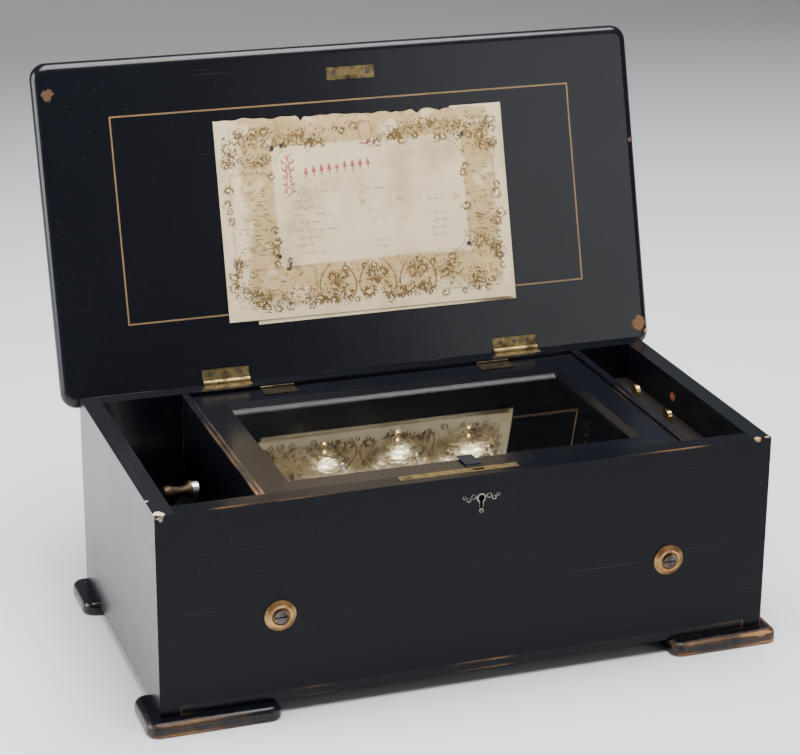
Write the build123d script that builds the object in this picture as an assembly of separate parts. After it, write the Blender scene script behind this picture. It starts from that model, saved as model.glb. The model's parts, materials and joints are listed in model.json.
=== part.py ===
from build123d import *
import math
import os

# A lever-wound cylinder musical box with three bells in sight, lid open at its stop.
# Millimetres, +Z up, +X to the right seen from the front, +Y to the back.
# Inside this file y = 0 is the middle of the case; write() moves every piece so that
# the origin is on the floor at the middle of the whole object's outline.

# ---- case -------------------------------------------------------------------
case_w = 520.0
case_d = 266.0
wall_h = 171.0
wall = 16.0
base_t = 8.0
foot_h = 12.0
foot_out = 12.0
foot_depth = 58.0
foot_len_left = 109.0
foot_len_right = 97.0
foot_corner = 10.0
foot_top_round = 5.5
foot_bottom_round = 2.5

# ---- lid --------------------------------------------------------------------
lid_t = 17.0
lid_side_out = 14.3
lid_front_out = 18.0
lid_back_out = 10.5
lid_corner = 14.0
lid_gap = 0.3
lid_open = 106.3
lid_pivot_out = 1.3
stringing_w = 1.4
stringing_t = 0.6
stringing_half = 211.5
stringing_low = 57.0
stringing_high = 236.0
hinge_len = 42.0
hinge_leaf = 12.0
leaf_screw_in = 4.5
hinge_leaf_t = 1.6
hinge_knuckle_r = 3.0
hinge_pin_r = 1.3
hinge_x = (-130.0, 140.0)
strike_x = 7.0
strike_len = 44.0
strike_w = 11.0
strike_t = 1.2
strike_from_staple = 3.7
paper_t = 0.4

# ---- bays -------------------------------------------------------------------
left_part_x = -174.5
left_part_t = 6.0
right_part_x = 188.0
right_part_t = 7.0
part_drop = 0.3
batten_w = 9.0
batten_h = 10.0
board_top = 151.0
board_t = 6.0

# ---- glass lid --------------------------------------------------------------
glass_drop = 3.0
frame_t = 10.0
frame_w = 29.0
frame_gap = 1.0
frame_bevel = 5.0
pane_t = 2.4
pane_seat = 5.0
glass_pin_r = 0.6
glass_knuckle_r = 1.35
glass_hinge_len = 30.0

# ---- movement ---------------------------------------------------------------
plate_top = 90.0
plate_t = 8.0
screw_x = (-162.0, 171.0)
washer_r = 13.0
cyl_y = -14.0
cyl_z = 118.0
cyl_r = 24.0
cyl_x0 = -100.0
cyl_x1 = 110.0
cyl_shift = 2.8
barrel_module = 1.0
great_teeth = 66
drive_pinion_teeth = 18
barrel_r = 30.5
barrel_x0 = -155.0
barrel_x1 = -122.5
great_t = 4.0
arbor_r = 5.0
ratchet_r = 14.0
ratchet_teeth = 24
ratchet_t = 3.6
lever_len = 104.0
lever_x = -209.0
lever_t = 5.0
lever_angle = 38.0
run_gap = 0.08
bell_from_back = 37.0
bell_x = (-58.5, 9.0, 75.5)
bell_r = (27.0, 28.5, 33.5)
bell_top = (128.0, 131.0, 127.0)
bell_rim = 103.0
bell_t = 1.5
hammer_side = 7.5
hammer_from_bell = 44.0
hammer_z = 100.0
hammer_head_from_bell = 28.0
hammer_head_z = 124.5
comb_teeth = 58
comb_t = 2.4
comb_slit = 0.6
finger_x = 220.0
finger_y = (45.0, -20.0)
finger_z = 136.0
finger_top = 171.0

# ---- worked out from the above ------------------------------------------------
half_w = case_w / 2
half_d = case_d / 2
in_w = half_w - wall
in_d = half_d - wall
bell_y = in_d - bell_from_back
hammer_y = bell_y - hammer_from_bell
hammer_head_y = bell_y - hammer_head_from_bell
top_z = foot_h + wall_h
floor_z = foot_h + base_t
pivot_y = half_d + lid_pivot_out
pivot_z = top_z + lid_gap
lid_front = -(half_d + lid_front_out)
lid_back = half_d + lid_back_out
glass_top = top_z - glass_drop
bay_x0 = left_part_x + left_part_t
bay_x1 = right_part_x


def box(x0, x1, y0, y1, z0, z1):
    """A block between two opposite corners."""
    return Pos((x0 + x1) / 2, (y0 + y1) / 2, (z0 + z1) / 2) * Box(x1 - x0, y1 - y0, z1 - z0)


def rod_x(y, z, r, x0, x1):
    """A round bar along X."""
    return Pos((x0 + x1) / 2, y, z) * Rot(0, 90, 0) * Cylinder(r, x1 - x0)


def rod_y(x, z, r, y0, y1):
    """A round bar along Y."""
    return Pos(x, (y0 + y1) / 2, z) * Rot(90, 0, 0) * Cylinder(r, y1 - y0)


def rod_z(x, y, r, z0, z1):
    """A round bar along Z."""
    return Pos(x, y, (z0 + z1) / 2) * Cylinder(r, z1 - z0)


def turned(points, x, y):
    """A solid turned about the vertical through (x, y) from its half outline."""
    outline = make_face(Plane.XZ * Polyline(*points, close=True))
    return Pos(x, y, 0) * revolve(outline, Axis.Z)


def slab_x(points, x0, x1):
    """A plate square to X, its outline given as (y, z) points."""
    face = make_face(Plane.YZ * Polyline(*points, close=True))
    return Pos(x0, 0, 0) * extrude(face, x1 - x0, dir=(1, 0, 0))


def toothed(teeth, module, angle, x0, x1, y, z):
    """A spur wheel about X with one tooth pointing at the angle, from +Y towards +Z."""
    pitch_r = module * teeth / 2
    tip = pitch_r + 0.85 * module
    root = pitch_r - 1.15 * module
    step = 2 * math.pi / teeth
    points = []
    for i in range(teeth):
        middle = math.radians(angle) + i * step
        for r, share in ((root, -0.30), (tip, -0.10), (tip, 0.10), (root, 0.30)):
            turn = middle + share * step
            points.append((y + r * math.cos(turn), z + r * math.sin(turn)))
    return slab_x(points, x0, x1)


def slotted(head, slot_w, slot_d):
    """A screw head along Z with its driving slot, standing on z = 0 and head high."""
    r, h = head
    return rod_z(0, 0, r, 0, h) - box(-r, r, -slot_w / 2, slot_w / 2, h - slot_d, h + 1)


def write(name, shape):
    """Writes one node, moved to the object's origin."""
    export_step(Pos(0, -origin_y, 0) * shape, "parts/" + name + ".step")


# ---- case pieces --------------------------------------------------------------
def case_front():
    panel = box(-in_w, in_w, -half_d, -in_d, floor_z, top_z)
    panel -= box(lock_x0, lock_x1, -in_d - lock_deep, -in_d, lock_z0, top_z)
    panel -= box(selvage_x0, selvage_x1, -in_d - lock_deep, -in_d, top_z - selvage_t, top_z)
    panel -= keyhole(-half_d - 1, -in_d)
    for x in screw_x:
        panel -= rod_y(x, plate_screw_z, plate_screw_r + 0.3, -half_d - 1, -in_d + 1)
    return panel


def case_back():
    panel = box(-in_w, in_w, in_d, half_d, floor_z, top_z)
    for x in hinge_x:
        panel -= hinge_room(x)
    for x in screw_x:
        panel -= rod_y(x, plate_screw_z, plate_screw_r + 0.3, in_d - 1, half_d + 1)
        panel -= rod_y(x, plate_screw_z, back_head_r + 0.4, half_d - back_head_h, half_d + 1)
    return panel


def case_end(side):
    inner = side * in_w
    outer = side * half_w
    panel = box(min(inner, outer), max(inner, outer), -half_d, half_d, foot_h, top_z)
    if side > 0:
        for y in finger_y:
            panel -= rod_x(y, finger_z, shaft_r + run_gap, in_w - 1, in_w + shaft_seat)
    return panel


def foot(side_x, side_y, length):
    """One foot block, standing out past the case on its two outer sides."""
    x1 = half_w + foot_out
    y1 = half_d + foot_out
    block = box(x1 - length, x1, y1 - foot_depth, y1, 0, foot_h)
    block = fillet(block.edges().filter_by(Axis.Z), foot_corner)
    block = fillet(block.faces().sort_by(Axis.Z)[-1].edges(), foot_top_round)
    block = fillet(block.faces().sort_by(Axis.Z)[0].edges(), foot_bottom_round)
    if side_x < 0:
        block = mirror(block, Plane.YZ)
    if side_y < 0:
        block = mirror(block, Plane.XZ)
    return block


def left_partition():
    panel = box(left_part_x, bay_x0, -in_d, in_d, floor_z, top_z - part_drop)
    return panel - rod_x(barrel_y, barrel_z, arbor_r + 2, left_part_x - 1, bay_x0 + 1)


def right_partition():
    panel = box(right_part_x, right_part_x + right_part_t, -in_d, in_d, floor_z, top_z - part_drop)
    for y in finger_y:
        panel -= rod_x(y, finger_z, shaft_r + run_gap, right_part_x - 1, right_part_x + right_part_t + 1)
    return panel


def control_board():
    board = box(right_part_x + right_part_t, in_w, -in_d, in_d, board_top - board_t, board_top)
    for y in finger_y:
        board -= box(finger_x - 5, finger_x + 5, y - 12, y + 12, board_top - board_t - 1, board_top + 1)
    return board


def battens():
    low = glass_top - frame_t - batten_h
    high = glass_top - frame_t
    left = box(bay_x0, bay_x0 + batten_w, -in_d, in_d, low, high)
    right = box(bay_x1 - batten_w, bay_x1, -in_d, in_d, low, high)
    return [left, right]


# ---- lid ------------------------------------------------------------------------
# Lid pieces are modelled shut and then swung to the stop.
def opened(shape):
    return Pos(0, pivot_y, pivot_z) * Rot(-lid_open, 0, 0) * Pos(0, -pivot_y, -pivot_z) * shape


def hinge_room(x):
    """What is cut away for one hinge: two leaf seats and the knuckle."""
    half = hinge_len / 2 + 0.2
    room = rod_x(pivot_y, pivot_z, hinge_knuckle_r + 0.3, x - half, x + half)
    y0 = pivot_y - hinge_leaf - 0.2
    return room + box(x - half, x + half, y0, pivot_y, top_z - hinge_leaf_t, pivot_z + hinge_leaf_t)


def lid_board():
    x1 = half_w + lid_side_out
    board = box(-x1, x1, lid_front, lid_back, pivot_z, pivot_z + lid_t)
    board = fillet(board.edges().filter_by(Axis.Z), lid_corner)
    board = fillet(board.faces().sort_by(Axis.Z)[-1].edges(), lid_t * 0.49)
    board = fillet(board.faces().sort_by(Axis.Z)[0].edges(), lid_t * 0.49)
    for x in hinge_x:
        board -= hinge_room(x)
    board -= strike_block(0.1)
    board -= stringing_ring()
    return board


def stringing_ring():
    y0 = pivot_y - stringing_high
    y1 = pivot_y - stringing_low
    ring = box(-stringing_half, stringing_half, y0, y1, pivot_z, pivot_z + stringing_t)
    x_in = stringing_half - stringing_w
    return ring - box(-x_in, x_in, y0 + stringing_w, y1 - stringing_w, pivot_z - 1, pivot_z + 2)


def strike_block(gap):
    y = pivot_y - strike_reach
    half = strike_len / 2 + gap
    side = strike_w / 2 + gap
    return box(strike_x - half, strike_x + half, y - side, y + side, pivot_z, pivot_z + strike_t)


def strike_plate():
    plate = strike_block(0)
    hook = box(strike_x - 4, strike_x + 4, staple_y - 1.2, staple_y + 1.2, pivot_z - 9, pivot_z + 0.2)
    hook -= box(strike_x - 2.2, strike_x + 2.2, staple_y - 2, staple_y + 2, pivot_z - 7, pivot_z - 2.5)
    for side in (-1, 1):
        plate -= rod_z(strike_x + side * 16, pivot_y - strike_reach, 2.2, pivot_z - 1, pivot_z + 3)
    return plate + hook


def knuckles(x, first):
    """Every second fifth of one hinge's knuckle, starting at the first or the second."""
    parts = []
    fifth = hinge_len / 5
    for i in range(first, 5, 2):
        x0 = x - hinge_len / 2 + i * fifth
        parts.append(rod_x(pivot_y, pivot_z, hinge_knuckle_r, x0 + 0.1, x0 + fifth - 0.1))
    return parts


def leaf(x, first, z0, z1):
    """One hinge leaf with its knuckles, pin hole and three screw holes."""
    half = hinge_len / 2
    plate = box(x - half, x + half, pivot_y - hinge_leaf, pivot_y, z0, z1)
    fifth = hinge_len / 5
    for i in range(1 - first, 5, 2):
        x0 = x - half + i * fifth
        near = hinge_knuckle_r + 0.2
        plate -= box(x0 - 0.1, x0 + fifth + 0.1, pivot_y - near, pivot_y + 1, z0 - 1, z1 + 1)
    for knuckle in knuckles(x, first):
        plate += knuckle
    plate -= rod_x(pivot_y, pivot_z, hinge_pin_r + run_gap, x - half - 1, x + half + 1)
    for i in (-1, 0, 1):
        plate -= rod_z(x + i * 13, leaf_screw_y, wood_screw_r, z0 - 3, z1 + 3)
    return plate


def lid_leaves():
    leaves = []
    for x in hinge_x:
        leaves.append(leaf(x, 1, pivot_z + leaf_gap, pivot_z + hinge_leaf_t))
    return Compound(leaves)


def case_leaves():
    leaves = []
    for x in hinge_x:
        leaves.append(leaf(x, 0, top_z - hinge_leaf_t, top_z - leaf_gap))
        half = hinge_len / 2
        leaves.append(rod_x(pivot_y, pivot_z, hinge_pin_r, x - half, x + half))
    return Compound(leaves)


def lid_screws():
    heads = []
    for x in hinge_x:
        for i in (-1, 0, 1):
            z = pivot_z + leaf_gap
            heads.append(rod_z(x + i * 13, leaf_screw_y, wood_screw_r, z + 0.2, pivot_z + hinge_leaf_t))
    for side in (-1, 1):
        y = pivot_y - strike_reach
        heads.append(rod_z(strike_x + side * 16, y, 2.2, pivot_z + 0.1, pivot_z + strike_t))
    return heads


def case_screws():
    heads = []
    for x in hinge_x:
        for i in (-1, 0, 1):
            z = top_z - hinge_leaf_t
            heads.append(rod_z(x + i * 13, leaf_screw_y, wood_screw_r, z, top_z - leaf_gap - 0.2))
    for x in selvage_screws:
        heads.append(rod_z(x, selvage_y, 1.4, top_z - selvage_t, top_z - 0.1))
    return Compound(heads)


def sheet(x0, x1, low, high, layer):
    """A thin sheet on the lid's inner face, by its reach from the pivot."""
    z = pivot_z - paper_t * layer
    return box(x0, x1, pivot_y - high, pivot_y - low, z - paper_t, z)


def tacks():
    heads = []
    for x, reach in tack_places:
        y = pivot_y - reach
        z = pivot_z - 2 * paper_t
        heads.append(rod_z(x, y, 1.8, z - 0.3, z))
    return heads


# ---- glass lid --------------------------------------------------------------------
def frame_bar(points):
    """One mitred bar, its plan given by four corners, with the pane's seat left out."""
    face = make_face(Plane.XY * Polyline(*points, close=True))
    bar = Pos(0, 0, glass_top - frame_t) * extrude(face, frame_t, dir=(0, 0, 1))
    seat = frame_w - pane_seat
    z0 = glass_top - frame_t - 1
    bar -= box(gx0 + seat, gx1 - seat, gy0 + seat, gy1 - seat, z0, pane_z1)
    return bar - cone_out()


def bevel_face(inset):
    return Pos((gx0 + gx1) / 2, (gy0 + gy1) / 2, 0) * Rectangle(gx1 - gx0 - 2 * inset, gy1 - gy0 - 2 * inset)


def cone_out():
    """The sloping inner edge of the frame as one tapered block."""
    low = Pos(0, 0, glass_top - frame_bevel) * bevel_face(frame_w)
    high = Pos(0, 0, glass_top + 0.01) * bevel_face(frame_w - frame_bevel * 0.8)
    return loft([low, high])


def glass_rails():
    front = frame_bar([(gx0, gy0), (gx1, gy0),
                       (gx1 - frame_w, gy0 + frame_w), (gx0 + frame_w, gy0 + frame_w)])
    back = frame_bar([(gx0, gy1), (gx0 + frame_w, gy1 - frame_w),
                      (gx1 - frame_w, gy1 - frame_w), (gx1, gy1)])
    return Compound([front, back])


def glass_stiles():
    left = frame_bar([(gx0, gy0), (gx0 + frame_w, gy0 + frame_w),
                      (gx0 + frame_w, gy1 - frame_w), (gx0, gy1)])
    right = frame_bar([(gx1, gy0), (gx1, gy1),
                       (gx1 - frame_w, gy1 - frame_w), (gx1 - frame_w, gy0 + frame_w)])
    return Compound([left, right])


def glass_pane():
    seat = frame_w - pane_seat
    return box(gx0 + seat, gx1 - seat, gy0 + seat, gy1 - seat, pane_z1 - pane_t, pane_z1)


def glass_leaf(x, lid_side):
    half = glass_hinge_len / 2
    third = glass_hinge_len / 3
    if lid_side:
        plate = box(x - half, x + half, glass_pivot_y - 16, glass_pivot_y, glass_top, glass_top + 0.9)
        cut = [(x - half - 1, x - half + third + 0.1), (x + half - third - 0.1, x + half + 1)]
        middle = [(x - half + third + 0.1, x + half - third - 0.1)]
    else:
        plate = box(x - half, x + half, in_d - 0.9, in_d, glass_top - 8, glass_pivot_z)
        cut = [(x - half + third - 0.1, x + half - third + 0.1)]
        middle = [(x - half, x - half + third - 0.1), (x + half - third + 0.1, x + half)]
    near = glass_knuckle_r + 0.2
    for x0, x1 in cut:
        plate -= box(x0, x1, glass_pivot_y - near, in_d + 1, glass_pivot_z - near, glass_pivot_z + near)
    for x0, x1 in middle:
        plate += rod_x(glass_pivot_y, glass_pivot_z, glass_knuckle_r, x0, x1)
    return plate - rod_x(glass_pivot_y, glass_pivot_z, glass_pin_r + 0.05, x - half - 1, x + half + 1)


def glass_lid_leaves():
    return Compound([glass_leaf(x, True) for x in glass_hinge_x])


def glass_case_leaves():
    half = glass_hinge_len / 2
    pins = [rod_x(glass_pivot_y, glass_pivot_z, glass_pin_r, x - half, x + half) for x in glass_hinge_x]
    return Compound([glass_leaf(x, False) for x in glass_hinge_x] + pins)


# ---- lock ---------------------------------------------------------------------------
def keyhole(y0, y1):
    hole = rod_y(key_x, key_z, 2.6, y0, y1)
    return hole + box(key_x - 1.1, key_x + 1.1, y0, y1, key_z - 8, key_z)


def lock_case():
    shell = box(lock_x0, lock_x1, -in_d - lock_deep, -in_d, lock_z0, top_z - selvage_t)
    shell -= box(lock_x0 + 1.2, lock_x1 - 1.2, -in_d - lock_deep + 1.2, -in_d - 1.2,
                 lock_z0 + 1.2, top_z - 3)
    strip = box(selvage_x0, selvage_x1, -in_d - lock_deep, -in_d, top_z - selvage_t, top_z)
    for x in selvage_screws:
        strip -= rod_z(x, selvage_y, 1.4, top_z - 4, top_z + 1)
    lock = shell + strip
    lock -= box(strike_x - 5, strike_x + 5, staple_y - 1.8, staple_y + 1.8, top_z - 12, top_z + 1)
    return lock - keyhole(-half_d, -in_d - 3)


def lock_bolt():
    z0 = top_z - 7.0
    bar = box(strike_x - 30, strike_x - 6, staple_y - 1, staple_y + 1, z0, z0 + 3)
    tail = box(strike_x - 20, strike_x - 14, staple_y - 1, staple_y + 1, z0 - 16, z0)
    return bar + tail


def escutcheon():
    """A keyhole surround with three scrolls each side and a ring below, inlaid flush."""
    y0 = -half_d - inlay_out
    y1 = -half_d
    pieces = [rod_y(key_x, key_z, 4.0, y0, y1) + box(key_x - 2, key_x + 2, y0, y1, key_z - 8, key_z)]
    pieces[0] -= keyhole(y0 - 1, y1 + 1)
    pieces.append(rod_y(key_x, key_z - 11, 2.0, y0, y1) - rod_y(key_x, key_z - 11, 1.0, y0 - 1, y1 + 1))
    for side in (-1, 1):
        for out, up, r in ((6.6, 1.5, 2.2), (10.8, -0.6, 2.0), (14.4, 1.6, 1.6)):
            x = key_x + side * out
            ring = rod_y(x, key_z + up, r, y0, y1) - rod_y(x, key_z + up, r - 0.7, y0 - 1, y1 + 1)
            pieces.append(ring - box(x - 0.5, x + 0.5, y0 - 1, y1 + 1, key_z + up, key_z + up + 4))
    return Compound(pieces)


# ---- movement -----------------------------------------------------------------------
def bedplate():
    plate = box(bay_x0 + 2, bay_x1 - 2, -in_d + 0.3, in_d - 0.3, plate_top - plate_t, plate_top)
    cut_r = great_tip + 2
    plate -= box(barrel_x0 - 2, barrel_x1 + great_t + 2, barrel_y - cut_r, barrel_y + cut_r, 0, top_z)
    for x in screw_x:
        plate -= rod_y(x, plate_screw_z, plate_screw_r, -in_d, -in_d + 14)
        plate -= rod_y(x, plate_screw_z, plate_screw_r, in_d - 14, in_d)
    return plate


def bearers():
    """Two wooden rails under the bedplate."""
    left = box(bay_x0 + 2, bay_x0 + 16, -in_d + 8, barrel_y - 38, floor_z, plate_top - plate_t)
    right = box(bay_x1 - 16, bay_x1 - 2, -in_d + 8, in_d - 8, floor_z, plate_top - plate_t)
    back = box(-100, 140, in_d - 12, in_d, floor_z, plate_top - plate_t)
    return [left, right, back]


def plate_screws():
    screws = []
    for x in screw_x:
        screw = rod_y(x, plate_screw_z, plate_screw_r, -half_d - 3.4, -in_d + 13)
        head = Pos(x, -half_d - 2.6, plate_screw_z) * Rot(90, 0, 0) * slotted((5.5, 2.4), 1.2, 1.2)
        screws.append(screw + head)
        screw = rod_y(x, plate_screw_z, plate_screw_r, in_d - 13, half_d - 0.4)
        place = Pos(x, half_d - back_head_h, plate_screw_z) * Rot(-90, 0, 0)
        head = place * slotted((back_head_r, 3.0), 1.2, 1.2)
        screws.append(screw + head)
    return Compound(screws)


def washers():
    rings = []
    for x in screw_x:
        ring = turned([(plate_screw_r + 0.3, 0), (washer_r, 0), (washer_r, 1.2), (washer_r - 3.5, 3.6),
                       (7.5, 3.6), (6.2, 2.6), (plate_screw_r + 0.3, 2.6)], 0, 0)
        rings.append(Pos(x, -half_d, plate_screw_z) * Rot(90, 0, 0) * ring)
    return Compound(rings)


def bridge(x0, x1, y, z, half, hole):
    """A bearing plate standing on the bedplate, round at the top."""
    body = box(x0, x1, y - half, y + half, plate_top, z) + rod_x(y, z, half, x0, x1)
    body -= box(x0 - 1, x1 + 1, y - half - 1, y + half + 1, 0, plate_top)
    return body - rod_x(y, z, hole, x0 - 1, x1 + 1)


def barrel_bridges():
    left = box(left_bridge_x, left_bridge_x + 4, barrel_y - 40, barrel_y + 40, plate_top, plate_top + 8)
    left += bridge(left_bridge_x, left_bridge_x + 4, barrel_y, barrel_z, 17, arbor_r + run_gap)
    left -= rod_x(barrel_y, barrel_z, arbor_r + run_gap, left_bridge_x - 1, left_bridge_x + 5)
    right = bridge(right_bridge_x, right_bridge_x + 5, barrel_y, barrel_z, 13, arbor_r + run_gap)
    click_stud = rod_x(click_y, click_z, 2.0, left_bridge_x - ratchet_t - 0.6, left_bridge_x)
    return Compound([left + click_stud, right])


def spring_barrel():
    drum = rod_x(barrel_y, barrel_z, barrel_r, barrel_x0, barrel_x1)
    drum += toothed(great_teeth, barrel_module, drive_angle,
                    barrel_x1, barrel_x1 + great_t, barrel_y, barrel_z)
    drum -= rod_x(barrel_y, barrel_z, barrel_r - 2.5, barrel_x0 + 2, barrel_x1 - 2)
    return drum - rod_x(barrel_y, barrel_z, arbor_r + run_gap, barrel_x0 - 1, barrel_x1 + 9)


def barrel_arbor():
    rod = rod_x(barrel_y, barrel_z, arbor_r, lever_x - 8, right_bridge_x + 6)
    return rod + rod_x(barrel_y, barrel_z, arbor_r + 4, barrel_x0 + 4, barrel_x1 - 4)


def mainspring():
    """The coiled spring as one washer of its wound size, gripping the arbor's hub."""
    coil = rod_x(barrel_y, barrel_z, barrel_r - 3.0, barrel_x0 + 4, barrel_x1 - 4)
    return coil - rod_x(barrel_y, barrel_z, arbor_r + 4.2, barrel_x0 + 3, barrel_x1 - 3)


def ratchet_wheel():
    points = []
    step = 2 * math.pi / ratchet_teeth
    for i in range(ratchet_teeth):
        for r, share in ((ratchet_r, 0.0), (ratchet_r - 2.0, 0.05)):
            turn = (i + share) * step
            points.append((barrel_y + r * math.cos(turn), barrel_z + r * math.sin(turn)))
    wheel = slab_x(points, left_bridge_x - ratchet_t - 0.3, left_bridge_x - 0.3)
    return wheel - rod_x(barrel_y, barrel_z, arbor_r, left_bridge_x - 9, left_bridge_x + 9)


def click():
    tip_y = barrel_y + (ratchet_r + 0.4) * math.cos(math.radians(60))
    tip_z = barrel_z + (ratchet_r + 0.4) * math.sin(math.radians(60))
    x0 = left_bridge_x - ratchet_t
    arm = slab_x([(click_y - 3, click_z + 3.0), (click_y + 3, click_z + 2), (tip_y + 3.4, tip_z + 1.4),
                  (tip_y, tip_z), (tip_y - 0.6, tip_z + 3.6)], x0, left_bridge_x - 0.4)
    arm += rod_x(click_y, click_z, 4.2, x0, left_bridge_x - 0.4)
    return arm - rod_x(click_y, click_z, 2.0 + run_gap, x0 - 1, left_bridge_x + 1)


def winding_lever():
    a = math.radians(lever_angle)
    tip_y = barrel_y - lever_len * math.cos(a)
    tip_z = barrel_z + lever_len * math.sin(a)
    x0 = lever_x - lever_t / 2
    x1 = lever_x + lever_t / 2
    side_y = math.sin(a)
    side_z = math.cos(a)
    near_end = [(barrel_y + 9 * side_y, barrel_z + 9 * side_z), (barrel_y - 9 * side_y, barrel_z - 9 * side_z)]
    far_end = [(tip_y + 5 * side_y, tip_z + 5 * side_z), (tip_y - 5 * side_y, tip_z - 5 * side_z)]
    arm = slab_x([near_end[0], far_end[0], far_end[1], near_end[1]], x0, x1)
    arm += rod_x(tip_y, tip_z, 6.5, x0, x1)
    arm += rod_x(barrel_y, barrel_z, 13, x0, x1)
    arm += rod_x(barrel_y, barrel_z, 10, x0 - 4, x1 + 4)
    return arm - rod_x(barrel_y, barrel_z, arbor_r, lever_x - 20, lever_x + 20)


def lever_handle():
    """A turned grip with a flared collar against the lever, lying along X."""
    outline = [(0, 0), (7.5, 0), (7.5, 1.5), (4.2, 4.5), (3.4, 9),
               (4.4, 15), (5.6, 19), (5.0, 22), (3.0, 23.4), (0, 23.8)]
    grip = turned(outline, 0, 0)
    a = math.radians(lever_angle)
    tip_y = barrel_y - lever_len * math.cos(a)
    tip_z = barrel_z + lever_len * math.sin(a)
    return Pos(lever_x - lever_t / 2, tip_y, tip_z) * Rot(0, -90, 0) * grip


def cylinder():
    """A brass tube closed by two end discs that slide on the arbor."""
    drum = rod_x(cyl_y, cyl_z, cyl_r, cyl_x0, cyl_x1)
    drum -= rod_x(cyl_y, cyl_z, cyl_r - cyl_wall, cyl_x0 + cyl_end, cyl_x1 - cyl_end)
    drum += rod_x(snail_y, cyl_z, snail_stud_r, cyl_x1, cyl_x1 + 3.6)
    return drum - rod_x(cyl_y, cyl_z, cyl_arbor_r + run_gap, cyl_x0 - 1, cyl_x1 + 1)


def cylinder_arbor():
    rod = rod_x(cyl_y, cyl_z, cyl_arbor_r, pinion_x0 - 1, right_post_x + 8)
    rod += toothed(drive_pinion_teeth, barrel_module, drive_angle + 180 + 180 / drive_pinion_teeth,
                   pinion_x0, pinion_x0 + great_t + 2, cyl_y, cyl_z)
    return rod + toothed(train_teeth[0], train_module[0], train_angle[0], wheel_x, wheel_x + 3, cyl_y, cyl_z)


def cylinder_bearings():
    left = bridge(left_post_x, left_post_x + 5, cyl_y, cyl_z, 7.5, cyl_arbor_r + run_gap)
    right = bridge(right_post_x, right_post_x + 5, cyl_y, cyl_z, 7.5, cyl_arbor_r + run_gap)
    return Compound([left, right])


def tune_snail():
    """The stepped cam that shifts the cylinder from tune to tune, on a stud of its end."""
    points = []
    for i in range(16):
        r = 5.0 if i % 2 == 0 else 3.6
        points.append((snail_y + r * math.cos(i * math.pi / 8), cyl_z + r * math.sin(i * math.pi / 8)))
    cam = slab_x(points, cyl_x1 + 0.4, cyl_x1 + 2.4) + rod_x(snail_y, cyl_z, 2.8, cyl_x1 + 0.4, cyl_x1 + 3.4)
    return cam - rod_x(snail_y, cyl_z, snail_stud_r + run_gap, cyl_x1, cyl_x1 + 5)


def comb_base():
    return box(cyl_x0 - 2, cyl_x1 + 2, comb_y0 - 6, comb_y1, plate_top, cyl_z - comb_t / 2)


def comb():
    """A steel plate slit into teeth whose tips stop just short of the cylinder."""
    z0 = cyl_z - comb_t / 2
    tip_y = cyl_y - cyl_r - comb_tip_gap
    x0 = cyl_x0 + 2
    pitch = (cyl_x1 - 2 - x0) / comb_teeth
    points = [(x0, comb_y0), (x0 + comb_teeth * pitch, comb_y0)]
    for i in range(comb_teeth, 0, -1):
        right = x0 + i * pitch - comb_slit / 2
        left = x0 + (i - 1) * pitch + comb_slit / 2
        points += [(right, comb_y1 - 2), (right - 0.6, tip_y), (left + 0.6, tip_y), (left, comb_y1 - 2)]
    face = make_face(Plane.XY * Polyline(*points, close=True))
    plate = Pos(0, 0, z0) * extrude(face, comb_t, dir=(0, 0, 1))
    for x in comb_screw_x:
        plate -= rod_z(x, comb_y0 + 9, 2.2, z0 - 1, z0 + comb_t + 1)
    return plate


def comb_screws():
    screws = []
    z = cyl_z + comb_t / 2
    for x in comb_screw_x:
        head = Pos(x, comb_y0 + 9, z) * slotted((4.2, 2.0), 1.0, 1.0)
        screws.append(head + rod_z(x, comb_y0 + 9, 2.2, cyl_z - comb_t / 2, z))
    return Compound(screws)


def governor_frame():
    """Two plates on a foot, with a cock above and a step below for the worm."""
    inner = box(frame_x0, frame_x0 + 3, worm_y + 6, train_y[1] + 12, plate_top, train_z[1] + 8)
    outer = box(frame_x1, frame_x1 + 3, worm_y - 8, train_y[1] + 12, plate_top, train_z[1] + 8)
    foot_plate = box(frame_x0, frame_x1 + 3, worm_y - 8, train_y[1] + 12, plate_top, plate_top + 3)
    cock = box(worm_x - 5, frame_x1 + 3, worm_y - 6, worm_y + 5, worm_z1, worm_z1 + 3)
    arm = box(frame_x1, frame_x1 + 3, worm_y - 6, worm_y + 5, plate_top, worm_z1 + 3)
    frame = inner + outer + foot_plate + cock + arm
    for i in (1, 2):
        frame -= rod_x(train_y[i], train_z[i], pivot_r + run_gap, frame_x0 - 1, frame_x1 + 4)
    frame -= rod_z(worm_x, worm_y, 1.0 + run_gap, plate_top + 1, worm_z1 + 1.6)
    return frame


def train_wheel(i, x_pinion, x_wheel, x_end):
    """One governor arbor with the pinion that is driven and the wheel that drives on."""
    y = train_y[i]
    z = train_z[i]
    rod = rod_x(y, z, pivot_r, x_pinion, frame_x1 + 2.5)
    meet = train_angle[i - 1] + 180 + 180 / pinion_teeth[i]
    rod += toothed(pinion_teeth[i], train_module[i - 1], meet, x_pinion, x_pinion + 5, y, z)
    return rod + toothed(train_teeth[i], train_module[i], train_angle[i], x_wheel, x_end, y, z)


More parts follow.
